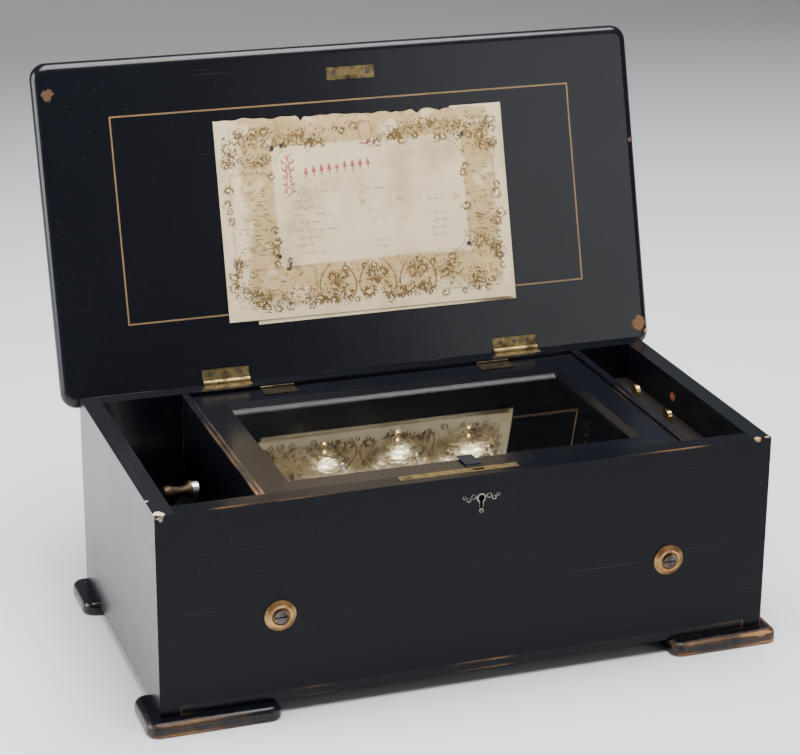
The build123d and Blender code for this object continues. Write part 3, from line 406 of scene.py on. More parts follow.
def build_materials():
    metals = bpy.context.scene.box_metal
    brass, brown, steel = tuple(metals.brass), tuple(metals.brown), tuple(metals.steel)
    return {
        "brass": metal("Aged brass", brass, brown),
        "bright brass": metal("Bright brass", tuple(1.1 * v for v in brass), brown, 0.35, 0.2),
        "worn brass": metal("Worn brass", (0.33, 0.25, 0.11), (0.075, 0.055, 0.028), 0.95, 0.38, 110.0),
        "steel": metal("Steel", steel, (0.16, 0.12, 0.09), 0.45, 0.24),
        "copper brass": metal("Coppery brass", (0.46, 0.27, 0.11), (0.16, 0.085, 0.04), 0.75, 0.30, 130.0),
        "nickel": metal("Old nickel", (0.30, 0.28, 0.24), (0.06, 0.05, 0.04), 0.9, 0.34, 220.0),
        # metal darkened to near black: painted shade of the deep bay the lever handle stands in
        "shade dark metal": metal("Metal darkened as painted shade", (0.10, 0.072, 0.042), (0.035, 0.026, 0.018), 0.9, 0.42),
        # brass darkened to near black: painted shade, so the glass lid's hinge leaves sink into the dark
        # under the open lid
        "shade dark brass": metal("Brass darkened as painted shade", (0.07, 0.055, 0.035), (0.02, 0.016, 0.012), 0.9, 0.45),
        "dark steel": metal("Dark steel", (0.13, 0.12, 0.12), (0.07, 0.045, 0.03), 0.8, 0.42),
        "iron": metal("Bedplate lacquer", tuple(metals.iron), (0.12, 0.08, 0.035), 0.6, 0.42, 40.0, 0.8),
    }


# ---- geometry helpers ---------------------------------------------------------------------
def mesh_piece(name, points, faces, made, body, smooth=True):
    """A finished piece from points in metres; it rides on a body of the mechanism."""
    mesh = bpy.data.meshes.new(name)
    mesh.from_pydata([tuple(p) for p in points], [], faces)
    mesh.materials.append(made)
    mesh.polygons.foreach_set("use_smooth", [smooth] * len(faces))
    mesh.update()
    piece = bpy.data.objects.new(name, mesh)
    bpy.context.scene.collection.objects.link(piece)
    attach(piece, body)
    return piece


def ribbon(points, faces, line, widths, normal):
    """Adds a flat stroke along a line; its width changes along it."""
    first = len(points)
    count = len(line)
    for i, here in enumerate(line):
        ahead = line[min(i + 1, count - 1)] - line[max(i - 1, 0)]
        side = normal.cross(ahead)
        side = side.normalized() * (widths[i] / 2) if side.length > 1e-9 else Vector((0, 0, 0))
        points.extend((here - side, here + side))
    faces.extend((first + 2 * i, first + 2 * i + 1, first + 2 * i + 3, first + 2 * i + 2)
                 for i in range(count - 1))


def scroll(x, y, size, start, turn, tightness=2.2, steps=14):
    """A spiral in a flat drawing, opening at a point; turn is +1 or -1."""
    line = []
    for i in range(steps + 1):
        share = i / steps
        radius = size * (1 - share) ** 1.1
        angle = start + turn * share * tightness * math.pi
        line.append((x + radius * math.cos(angle), y + radius * math.sin(angle)))
    return line


# ---- the printed sheet --------------------------------------------------------------------
SHEET_CORNERS = (Vector((-0.1224, 0.0505)), Vector((0.1412, 0.0490)), Vector((0.1416, 0.2218)),
                 Vector((-0.1212, 0.2266)))
SHEET_SIZE = Vector((0.264, 0.176))
SHEET_LIFT = 0.0004
TACKS = (Vector((0.0603, 0.1501)), Vector((0.2283, 0.1498)), Vector((0.0502, 0.0539)),
         Vector((0.2265, 0.0515)))
PANEL_LOW = Vector((0.053, 0.047))
PANEL_HIGH = Vector((0.224, 0.146))


def sheet_ripple(u, v, size):
    """How far the old paper stands off the wood."""
    waves = math.sin(5.1 * u + 2.0 * v + 0.6) * math.sin(3.7 * v - 1.6 * u + 1.1)
    fine = 0.25 * math.sin(17 * u + 9 * v) * math.sin(13 * v - 7 * u + 2)
    curl = 1.6 * max(0.0, u - 0.86) / 0.14 * max(0.0, 0.25 - v) / 0.25
    held = min(1.0, 6 * min(u, v, 1 - u, 1 - v) + 0.45)
    spot = Vector((u * SHEET_SIZE.x, v * SHEET_SIZE.y))
    for tack in TACKS:
        held = min(held, ((spot - tack).length / 0.03) ** 2)
    return size * (0.62 + 0.38 * (waves + fine)) * held + size * curl


def on_sheet(a, b, lift=0.0):
    """A point of the printed sheet, by its place across and up the paper in metres."""
    u, v = a / SHEET_SIZE.x, b / SHEET_SIZE.y
    low = SHEET_CORNERS[0].lerp(SHEET_CORNERS[1], u)
    high = SHEET_CORNERS[3].lerp(SHEET_CORNERS[2], u)
    place = low.lerp(high, v)
    ripple = bpy.context.scene.box_sheet.ripple
    return on_lid(place.x, place.y, SHEET_LIFT + sheet_ripple(u, v, ripple) + lift)


TEARS = ((0.30, 0.014, 0.030), (0.62, 0.030, 0.016), (0.71, 0.020, 0.026), (0.79, 0.015, 0.020),
         (0.06, 0.03, 0.010),
         (0.45, 0.05, 0.008), (0.55, 0.04, 0.014))


def torn(u):
    """How far the top edge is torn away, as a share of the sheet's height."""
    loss = 0.006 + 0.004 * math.sin(41 * u) + 0.003 * math.sin(97 * u + 1)
    for middle, wide, deep in TEARS:
        loss = max(loss, deep * (1 - abs(u - middle) / wide))
    return loss


def printed_strokes(rng):
    """The generic ornament, as lines in sheet metres with their widths, in three inks."""
    brown, red, script = [], [], []
    low, high = PANEL_LOW, PANEL_HIGH

    def stroke(ink, line, thick, thin=0.3):
        count = len(line)
        widths = [thick * (thin + (1 - thin) * math.sin(math.pi * (i + 0.5) / count)) for i in range(count)]
        ink.append((line, widths))

    def spray(ink, x, y, size, start, turn):
        """A scroll with leaves springing from its outside."""
        line = scroll(x, y, size, start, turn)
        stroke(ink, line, size * 0.20, 0.4)
        for i in range(1, len(line) - 3):
            near, far = Vector(line[i]), Vector(line[i + 1])
            along = (far - near).normalized()
            out = Vector((along.y, -along.x)) * turn
            tip = near + out * size * rng.uniform(0.35, 0.6) + along * size * rng.uniform(0.1, 0.4)
            middle = (near + tip) / 2 + along * size * 0.10
            stroke(ink, [tuple(near), tuple(middle), tuple(tip)], size * 0.24, 0.3)

    def panel_line(grow, thick):
        corner = 0.011
        x0, y0, x1, y1 = low.x - grow, low.y - grow, high.x + grow, high.y + grow
        line = []
        for cx, cy, start in ((x1 - corner, y1 - corner, 0), (x0 + corner, y1 - corner, 1),
                              (x0 + corner, y0 + corner, 2), (x1 - corner, y0 + corner, 3)):
            for i in range(9):
                angle = (start + i / 8) * math.pi / 2
                line.append((cx + corner * math.cos(angle), cy + corner * math.sin(angle)))
        line.append(line[0])
        brown.append((line, [thick] * len(line)))

    panel_line(0.0, 0.00055)
    panel_line(0.0022, 0.0003)
    # scrollwork along the four bands round the panel
    bands = []
    for i in range(24):
        bands.append((0.012 + 0.243 * i / 23, rng.choice((0.150, 0.163))))
        bands.append((0.014 + 0.238 * i / 23, rng.choice((0.010, 0.040))))
    for i in range(14):
        bands.append((rng.choice((0.008, 0.048)), 0.030 + 0.122 * i / 13))
        bands.append((rng.choice((0.229, 0.257)), 0.030 + 0.122 * i / 13))
    for x, y in bands:
        spray(brown, x + rng.uniform(-0.002, 0.002), y + rng.uniform(-0.002, 0.002),
              rng.uniform(0.003, 0.0055),
              rng.uniform(0, 6.28), rng.choice((-1, 1)))
    # framed fields at the sides and the lower corners
    for x0, x1, y0, y1 in ((0.010, 0.046, 0.056, 0.128), (0.230, 0.256, 0.060, 0.132),
                           (0.010, 0.082, 0.012, 0.044), (0.192, 0.256, 0.012, 0.044)):
        for grow in (0.0, 0.0016):
            outline = []
            for cx, cy, start in ((x1 - 0.005, y1 - 0.005, 0), (x0 + 0.005, y1 - 0.005, 1),
                                  (x0 + 0.005, y0 + 0.005, 2), (x1 - 0.005, y0 + 0.005, 3)):
                for i in range(6):
                    angle = (start + i / 5) * math.pi / 2
                    outline.append((cx + (0.005 - grow) * math.cos(angle),
                                    cy + (0.005 - grow) * math.sin(angle)))
            outline.append(outline[0])
            brown.append((outline, [0.0005 - grow * 0.12] * len(outline)))
        for _ in range(60):
            x, y = rng.uniform(x0 + 0.003, x1 - 0.006), y0 + 0.003 + (y1 - y0 - 0.012) * rng.random() ** 1.8
            run = rng.uniform(0.002, 0.007)
            stroke(brown, [(x, y), (x + run / 2, y + 0.0004), (min(x + run, x1 - 0.002), y)],
                   rng.uniform(0.0004, 0.0009))
    # grasses and leaves, drawn as many short strokes
    thickets = ((0.022, 0.156, 0.009), (0.045, 0.158, 0.010), (0.070, 0.156, 0.009), (0.088, 0.152, 0.006),
                (0.165, 0.152, 0.006), (0.180, 0.158, 0.008), (0.200, 0.160, 0.006), (0.224, 0.156, 0.009),
                (0.244, 0.158, 0.008), (0.013, 0.140, 0.006), (0.038, 0.136, 0.006), (0.250, 0.140, 0.006),
                (0.235, 0.052, 0.006), (0.252, 0.046, 0.006), (0.205, 0.030, 0.007), (0.235, 0.020, 0.008),
                (0.018, 0.024, 0.007), (0.030, 0.016, 0.007), (0.052, 0.013, 0.008), (0.078, 0.015, 0.007),
                (0.100, 0.012, 0.006), (0.160, 0.012, 0.006), (0.182, 0.014, 0.006), (0.012, 0.048, 0.005))
    for _ in range(3600):
        x, y, spread = rng.choice(thickets)
        x, y = rng.gauss(x, spread), rng.gauss(y, spread * 0.62)
        inside = low.x - 0.002 < x < high.x + 0.002 and low.y - 0.002 < y < high.y + 0.002
        if inside or not (0.006 < x < 0.259 and 0.008 < y < 0.166):
            continue
        angle = rng.uniform(0.2, 2.9)
        size = rng.uniform(0.0010, 0.0032)
        end = (x + size * math.cos(angle), y + size * math.sin(angle))
        bend = (x + size * 0.5 * math.cos(angle + 0.5), y + size * 0.5 * math.sin(angle + 0.5))
        stroke(brown, [(x, y), bend, end], rng.uniform(0.0004, 0.0011))
    # three bowls of scrolls below the panel, and a lyre above it
    for x in (0.101, 0.138, 0.176):
        for side in (-1, 1):
            line = [(x + side * 0.017 * math.sin(0.4 + 2.1 * t / 14), 0.044 - 0.036 * t / 14)
                    for t in range(15)]
            stroke(brown, line, 0.0012, 0.5)
            spray(brown, x + side * 0.010, 0.017, 0.007, 1.2, side)
            spray(brown, x + side * 0.006, 0.032, 0.006, 4.0, -side)
        for i in range(9):
            spread = (i - 4) * 0.22
            stem = [(x + 0.013 * t / 6 * math.sin(spread), 0.022 + 0.017 * t / 6 * math.cos(spread))
                    for t in range(7)]
            stroke(brown, stem, 0.0008, 0.5)
    for side in (-1, 1):
        line = [(0.137 + side * (0.0035 + 0.0025 * math.sin(3.0 * t / 12)), 0.151 + 0.017 * t / 12)
                for t in range(13)]
        stroke(red, line, 0.0009, 0.6)
        stroke(red, [(0.137 + side * 0.0012, 0.152), (0.137 + side * 0.0012, 0.167)], 0.0003, 0.9)
        stroke(red, [(0.137, 0.1475), (0.137 + side * 0.004, 0.1485), (0.137 + side * 0.006, 0.1478)],
               0.0016, 0.5)
    stroke(red, [(0.131, 0.1665), (0.137, 0.1675), (0.143, 0.1665)], 0.0009, 0.8)
    # the label's blank box
    x0, x1, y0, y1 = 0.127, 0.158, 0.0145, 0.0275
    brown.append(([(x0, y0), (x1, y0), (x1, y1), (x0, y1), (x0, y0)], [0.0005] * 5))
    # a knot of scrolls and a running ornament in red where a heading would stand
    for i in range(5):
        for side in (-1, 1):
            line = scroll(0.064 + side * 0.0042, 0.137 - 0.0066 * i, 0.0056 - 0.0007 * i, 1.57, side, 1.8)
            stroke(red, line, 0.0015, 0.5)
            stroke(red, scroll(0.064 + side * 0.0028, 0.134 - 0.0066 * i, 0.0030, 4.4, -side, 1.5), 0.0009,
                   0.5)
    for i in range(9):
        x = 0.080 + 0.0072 * i
        rise = 0.0012 * i ** 0.7
        for side in (-1, 1):
            stroke(red, scroll(x + side * 0.0013, 0.1255 + rise, 0.0034, 1.57, side, 1.5), 0.0011, 0.5)
        stroke(red, [(x, 0.1205 + rise), (x, 0.1250 + rise), (x, 0.1295 + rise)], 0.0012, 0.6)
    # faded writing, as wavering strokes with no letters in them
    for row in range(9):
        y = 0.108 - 0.0066 * row
        for start, reach, keep in ((0.067, rng.uniform(0.012, 0.055), 1.0), (0.136, 0.016, 0.55),
                                   (0.192, 0.016, 0.65)):
            if rng.random() > keep:
                continue
            x, line = start + rng.uniform(-0.002, 0.003), []
            while x < start + reach:
                line.append((x, y + rng.uniform(-0.0014, 0.0014)))
                x += rng.uniform(0.0005, 0.0011)
                if rng.random() < 0.13 and len(line) > 3:
                    script.append((line, [0.00042] * len(line)))
                    line, x = [], x + 0.0014
            if len(line) > 1:
                script.append((line, [0.00042] * len(line)))
    # burnt and stained patches at the left
    script.append(([(0.0570, 0.0410), (0.0585, 0.0465), (0.0605, 0.0520)], [0.0035, 0.0050, 0.0038]))
    script.append(([(0.0480, 0.1455), (0.0500, 0.1480), (0.0520, 0.1500)], [0.0025, 0.0058, 0.0030]))
    return brown, red, script


# ---- operators ------------------------------------------------------------------------------
class MUSICBOX_OT_camera(bpy.types.Operator):
    """Stand the camera to the left of the front and above it"""
    bl_idname = "musicbox.camera"
    bl_label = "Camera"

    def execute(self, context):
        data = bpy.data.cameras.new("camera")
        data.lens = 108.31
        data.sensor_width = 36.0
        data.clip_start = 0.05
        data.dof.use_dof = False
        camera = bpy.data.objects.new("camera", data)
        side, rise, roll = math.radians(-19.37), math.radians(20.04), math.radians(0.39)
        back = Vector((math.sin(side) * math.cos(rise), -math.cos(side) * math.cos(rise), math.sin(rise)))
        level = Vector((math.cos(side), math.sin(side), 0))
        up = back.cross(level)
        right = level * math.cos(roll) + up * math.sin(roll)
        top = up * math.cos(roll) - level * math.sin(roll)
        turn = Matrix((right, top, back)).transposed().to_4x4()
        camera.matrix_world = Matrix.Translation((-0.6394, -1.8123, 0.9050)) @ turn
        context.scene.collection.objects.link(camera)
        context.scene.camera = camera
        return {"FINISHED"}


class MUSICBOX_OT_effects(bpy.types.Operator):
    """Build the shader groups that the finishes share"""
    bl_idname = "musicbox.effects"
    bl_label = "Shared effects"

    def execute(self, context):
        build_edge_wear()
        build_grain()
        build_scratches()
        build_tarnish()
        return {"FINISHED"}


class MUSICBOX_OT_case(bpy.types.Operator):
    """Finish the case, its feet and its inner boards"""
    bl_idname = "musicbox.case"
    bl_label = "Case"

    def execute(self, context):
        finish = context.scene.box_case
        ends = [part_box("case_left_end"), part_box("case_right_end")]
        whole = (ends[0][0], ends[1][1])
        low, high = whole
        cream, tan, mahogany = (0.72, 0.62, 0.40), (0.52, 0.31, 0.14), (0.34, 0.10, 0.04)
        chips = [((low[0] + 0.004, low[1] + 0.003, high[2] - 0.001), 0.0075, cream, 1.0),
                 ((low[0] + 0.0012, low[1] + 0.03, high[2]), 0.0028, cream, 1.0),
                 ((high[0] - 0.012, low[1] + 0.001, high[2]), 0.0050, tan, 1.0),
                 ((high[0] - 0.003, low[1] + 0.002, high[2]), 0.0034, tan, 1.0),
                 ((ends[1][0][0], -0.022, 0.166), 0.0070, mahogany, 1.0)]
        for node, gloss in (("case_front", 0.09), ("case_back", 0.3), ("case_left_end", 0.5),
                            ("case_right_end", 0.3)):
            along = "Y" if node.endswith("end") else "X"
            label = node.replace("_", " ") + " polish"
            dress(node, ebonised(label, whole, 0.36, 0.26, along=along, gloss=gloss, chips=chips))
        # the front veneer runs over the ends' edges
        for node in ("case_left_end", "case_right_end"):
            mesh = frame["nodes"][node].data
            mesh.materials.append(bpy.data.materials["case front polish"])
            for face in mesh.polygons:
                if face.normal.y < -0.9:
                    face.material_index = 1
        for node, amount, width, along, bare in (
                ("foot_front_left", 0.46, 1.0, "X", None), ("foot_front_right", 0.50, 1.1, "X", None),
                ("foot_back_left", 0.46, 1.0, "X", None), ("foot_back_right", 0.46, 1.0, "X", None),
                ("left_partition", 0.44, 0.45, "Y", (0.36, 0.15, 0.06)),
                ("right_partition", 0.34, 0.25, "Y", None)):
            dress(node, ebonised(node.replace("_", " ") + " polish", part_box(node), amount, width,
                                 along=along, bare=bare))
        dress("base_board", ebonised("Base board polish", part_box("base_board"), 0.40, 0.35, gloss=0.15))
        dress("control_board", stained("Control board", tuple(finish.inside), 0.8, 0.45, "Y"))
        dress("case_battens", stained("Battens", tuple(finish.inside), 0.5, 0.6))
        return {"FINISHED"}


class MUSICBOX_OT_lid(bpy.types.Operator):
    """Finish the lid and its stringing"""
    bl_idname = "musicbox.lid"
    bl_label = "Lid"

    def execute(self, context):
        finish = context.scene.box_case
        dress("lid_board", ebonised("Lid polish", lid_box("lid_board"), 0.32, 0.3, True, sheen=0.7,
                                    gloss=0.35, chips=[
            ((0.264, -0.001, 0.012), 0.0110, (0.24, 0.105, 0.045), 0.85),
            ((0.272, 0.0, 0.004), 0.0060, (0.42, 0.20, 0.08), 1.0),
            ((-0.262, -0.001, 0.258), 0.0085, (0.16, 0.075, 0.03), 0.8),
            ((0.27, 0.0, 0.18), 0.0040, (0.2, 0.1, 0.05), 0.8)]))
        made, tree, shader, place = material("Stringing")
        faded = noise(tree, place, 45.0, 4.0)
        base = blend(tree, faded, tuple(finish.inlay), tuple(0.25 * v for v in finish.inlay))
        height = noise(tree, place, 500.0)
        drive(tree, shader, Base_Color=base, Roughness=0.4, Normal=bump(tree, height, 0.0001, 0.4))
        dress("lid_stringing", made)
        return {"FINISHED"}


class MUSICBOX_OT_glass_lid(bpy.types.Operator):
    """Finish the inner lid's frame and its pane"""
    bl_idname = "musicbox.glass_lid"
    bl_label = "Glass lid"

    def execute(self, context):
        for node, along in (("glass_lid_rails", "X"), ("glass_lid_stiles", "Y")):
            dress(node, ebonised(node.replace("_", " ") + " polish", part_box(node), 0.32, 0.28, along=along,
                                 gloss=0.22))
        made, tree, shader, place = material("Window glass")
        smears = noise(tree, stretch(tree, place, (9, 4, 9)), 1.0, 5.0, 0.6, 1.5)
        rough = calc(tree, "MULTIPLY", fade(tree, smears, 0.45, 0.75), 0.07)
        drive(tree, shader, Base_Color=(0.93, 0.97, 0.95, 1.0), Roughness=rough, IOR=1.48,
              Normal=bump(tree, noise(tree, place, 6.0, 2.0), 0.0006, 0.25))
        shader.inputs["Transmission Weight"].default_value = 1.0
        dress("glass_pane", made)
        return {"FINISHED"}


class MUSICBOX_OT_pull_tab(bpy.types.Operator):
    """Lay a doubled strip of black cloth over the glass lid's front rail"""
    bl_idname = "musicbox.pull_tab"
    bl_label = "Pull tab"

    def execute(self, context):
        low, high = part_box("pull_tab")
        made, tree, shader, place = material("Black cloth")
        weave = put(tree, "ShaderNodeTexWave", {"Vector": place, "Scale": 900.0},
                    bands_direction="X").outputs["Fac"]
        weft = put(tree, "ShaderNodeTexWave", {"Vector": place, "Scale": 900.0},
                   bands_direction="Y").outputs["Fac"]
        woven = calc(tree, "MAXIMUM", weave, weft)
        base = blend(tree, noise(tree, place, 150.0), (0.003, 0.0033, 0.0045), (0.010, 0.011, 0.014))
        drive(tree, shader, Base_Color=base, Roughness=0.85, Normal=bump(tree, woven, 0.0002, 0.8))
        span = high[1] - low[1] - 1.6 * MM
        layer = 0.45 * MM
        path = [(low[1] + 0.8 * MM + span * i / 14, low[2] + 0.28 * MM) for i in range(15)]
        middle = low[2] + 0.28 * MM + layer * 0.9
        path += [(high[1] - 0.8 * MM + 0.9 * layer * math.sin(a), middle - 0.9 * layer * math.cos(a))
                 for a in (math.pi * i / 6 for i in range(1, 6))]
        path += [(high[1] - 0.8 * MM - span * i / 14,
                  middle + 0.9 * layer + 0.25 * MM * math.sin(i * 0.7) ** 2)
                 for i in range(13)]
        across = 10
        points, faces = [], []
        for row, (y, z) in enumerate(path):
            for column in range(across + 1):
                share = column / across
                skew = 0.7 * MM * math.sin(row * 0.22)
                x = low[0] + 0.9 * MM + (high[0] - low[0] - 1.8 * MM) * share + skew
                points.append((x, y, z + 0.05 * MM * math.sin(share * 9 + row)))
        width = across + 1
        for row in range(len(path) - 1):
            for column in range(across):
                a = row * width + column
                faces.append((a, a + 1, a + width + 1, a + width))
        tab = mesh_piece("cloth_tab", points, faces, made, "glass_lid")
        thick = tab.modifiers.new("thickness", "SOLIDIFY")
        thick.thickness = 0.32 * MM
        thick.offset = 0
        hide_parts("pull_tab")
        return {"FINISHED"}


class MUSICBOX_OT_sheets(bpy.types.Operator):
    """Pin the rippled, torn sheets to the lid and print generic ornament on the front one"""
    bl_idname = "musicbox.sheets"
    bl_label = "Paper sheets"

    def paper(self, name, panel):
        finish = bpy.context.scene.box_sheet
        made, tree, shader, place = material(name)
        local = lid_place(tree, place)
        cloud = noise(tree, local, 14.0, 6.0, 0.6)
        spots = noise(tree, local, 60.0, 5.0, 0.6)
        cream = tuple(finish.paper)
        base = blend(tree, fade(tree, cloud, 0.45, 0.75), cream, (0.60, 0.43, 0.22))
        base = blend(tree, calc(tree, "MULTIPLY", fade(tree, spots, 0.62, 0.74), 0.6), base,
                     (0.40, 0.22, 0.09))
        if panel:
            middle = (PANEL_LOW + PANEL_HIGH) / 2
            half = (PANEL_HIGH - PANEL_LOW) / 2
            centre = (SHEET_CORNERS[0].x + middle.x, 0.0, SHEET_CORNERS[0].y + middle.y)
            away = put(tree, "ShaderNodeVectorMath", {0: local, 1: centre}, operation="SUBTRACT").outputs[0]
            away = put(tree, "ShaderNodeVectorMath", {0: away}, operation="ABSOLUTE").outputs[0]
            away = put(tree, "ShaderNodeVectorMath", {0: away, 1: (half.x, 0, half.y)},
                       operation="SUBTRACT").outputs[0]
            x, _, z = put(tree, "ShaderNodeSeparateXYZ", {0: away}).outputs
            outside = calc(tree, "MAXIMUM", x, z)
            ragged = calc(tree, "ADD", outside,
                          calc(tree, "MULTIPLY", noise(tree, local, 70.0, 4.0), 0.018))
            band = calc(tree, "MULTIPLY", fade(tree, outside, 0.001, 0.004),
                        calc(tree, "SUBTRACT", 1.0, fade(tree, ragged, 0.036, 0.044)))
            wash = calc(tree, "MULTIPLY", band, fade(tree, noise(tree, local, 45.0, 5.0, 0.6), 0.32, 0.50))
            base = blend(tree, calc(tree, "MULTIPLY", wash, 0.75), base, (0.56, 0.36, 0.13))
            dark = calc(tree, "MULTIPLY", band,
                        fade(tree, noise(tree, local, 210.0, 5.0, 0.65), 0.56, 0.64))
            base = blend(tree, calc(tree, "MULTIPLY", dark, 0.7), base, tuple(1.2 * v for v in finish.ink))
        fibres = noise(tree, local, 700.0, 4.0)
        creases = noise(tree, stretch(tree, local, (30, 30, 9)), 1.0, 2.0)
        height = calc(tree, "ADD", fibres, calc(tree, "MULTIPLY", creases, 2.0))
        drive(tree, shader, Base_Color=base, Roughness=0.82, Normal=bump(tree, height, 0.0002, 0.5))
        return made

    def ink(self, name, tint, strength):
        made, tree, shader, place = material(name)
        fading = fade(tree, noise(tree, place, 160.0, 4.0), 0.30, 0.55)
        drive(tree, shader, Base_Color=(*tint, 1.0), Roughness=0.8,
              Alpha=calc(tree, "MULTIPLY", fading, strength),
              Normal=bump(tree, noise(tree, place, 900.0), 0.00005, 0.4))
        return made

    def execute(self, context):
        finish = context.scene.box_sheet
        columns, rows = 120, 64
        points, faces = [], []
        for row in range(rows + 1):
            for column in range(columns + 1):
                u, v = column / columns, row / rows
                top = 1 - torn(u)
                points.append(on_sheet(u * SHEET_SIZE.x, v * top * SHEET_SIZE.y))
        for row in range(rows):
            for column in range(columns):
                a = row * (columns + 1) + column
                faces.append((a, a + 1, a + columns + 2, a + columns + 1))
        sheet = mesh_piece("printed_sheet", points, faces, self.paper("Printed paper", True), "lid")
        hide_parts("tune_sheet")
        low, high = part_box("backing_sheet")
        reach = lid_reaches("backing_sheet")
        points, faces = [], []
        for row in range(41):
            for column in range(61):
                u, v = column / 60, row / 40
                slope = -0.016 * (1 - u) ** 0.5 if u < 0.80 else 0.0
                height = 0.00025 + 0.0002 * math.sin(9 * u) * math.sin(6 * v)
                reach_here = reach[0] + 0.0005 + (reach[1] - reach[0] - 0.0035) * v
                points.append(on_lid(low[0] + (high[0] - low[0]) * u, reach_here + slope * v, height))
        for row in range(40):
            for column in range(60):
                a = row * 61 + column
                faces.append((a, a + 1, a + 62, a + 61))
        backing = mesh_piece("backing_paper", points, faces, self.paper("Backing paper", False), "lid")
        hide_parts("backing_sheet")
        rng = random.Random(21)
        inks = (("print_brown", tuple(finish.ink), 0.85), ("print_red", tuple(finish.flourish), 0.85),
                ("faded_writing", (0.035, 0.028, 0.024), 1.0))
        for strokes, (name, tint, strength) in zip(printed_strokes(rng), inks):
            points, faces = [], []
            for line, widths in strokes:
                raised = [on_sheet(a, b, 0.00007) for a, b in line]
                ribbon(points, faces, raised, widths, LID_OUT)
            mesh_piece(name, points, faces, self.ink(name.replace("_", " "), tint, strength), "lid")
        return {"FINISHED"}


class MUSICBOX_OT_metalwork(bpy.types.Operator):
    """Finish the hinges, screws, lock and the movement's metal"""
    bl_idname = "musicbox.metalwork"
    bl_label = "Metalwork"

    def execute(self, context):
        made = build_materials()
        for finish, nodes in (
                ("brass", "barrel_bridges governor_frame cylinder_bearings lock_bolt"),
                ("copper brass", "bedplate_washers"),
                ("nickel", "keyhole_escutcheon"),
                ("bright brass", "start_stop_lever change_repeat_lever music_cylinder "
                                 "governor_wheel_1 governor_wheel_2 bell_rail spring_barrel tune_snail"),
                ("worn brass", "lid_hinge_leaves case_hinge_leaves strike_plate lock_case"),
                # the glass lid's hinge leaves get near-black brass as painted shade
                ("shade dark brass", "glass_lid_hinge_leaves glass_case_hinge_leaves"),
                ("steel", "music_comb comb_screws ratchet_wheel ratchet_click cylinder_arbor "
                          "barrel_arbor worm_fly bell_hammer_1 bell_hammer_2 bell_hammer_3 winding_lever"),
                ("dark steel", "lid_fasteners case_screws bedplate_screws mainspring"),
                # the lever handle gets near-black metal as painted shade
                ("shade dark metal", "lever_handle"),
                ("iron", "bedplate comb_base")):
            for node in nodes.split():
                dress(node, made[finish])
        return {"FINISHED"}


class MUSICBOX_OT_bells(bpy.types.Operator):
    """Finish the three engraved bells"""
    bl_idname = "musicbox.bells"
    bl_label = "Bells"

    def execute(self, context):
        bell = tuple(context.scene.box_metal.bell)
        made, tree, shader, place = material("Engraved bell metal")
        cloud, marks = use(tree, "Tarnish", {"Place": place, "Scale": 70.0})
        cells = put(tree, "ShaderNodeTexVoronoi", {"Vector": place, "Scale": 420.0}).outputs["Distance"]
        bands = put(tree, "ShaderNodeTexWave",
                    {"Vector": place, "Scale": 70.0, "Distortion": 6.0, "Detail": 3.0},
                    bands_direction="Z").outputs["Fac"]
        cut = calc(tree, "MULTIPLY", fade(tree, cells, 0.25, 0.45), fade(tree, bands, 0.35, 0.65))
        base = blend(tree, calc(tree, "MULTIPLY", cloud, 0.5), bell, (0.30, 0.20, 0.10))
        base = blend(tree, calc(tree, "MULTIPLY", cut, 0.35), base, (0.16, 0.11, 0.06))
        rough = calc(tree, "ADD", 0.17, calc(tree, "MULTIPLY", calc(tree, "ADD", cloud, cut), 0.18))
        height = calc(tree, "SUBTRACT", calc(tree, "MULTIPLY", marks, 0.15), cut)
        drive(tree, shader, Base_Color=base, Roughness=rough, Metallic=1.0,
              Normal=bump(tree, height, 0.0003, 0.8))
        dress("bells", made)
        return {"FINISHED"}


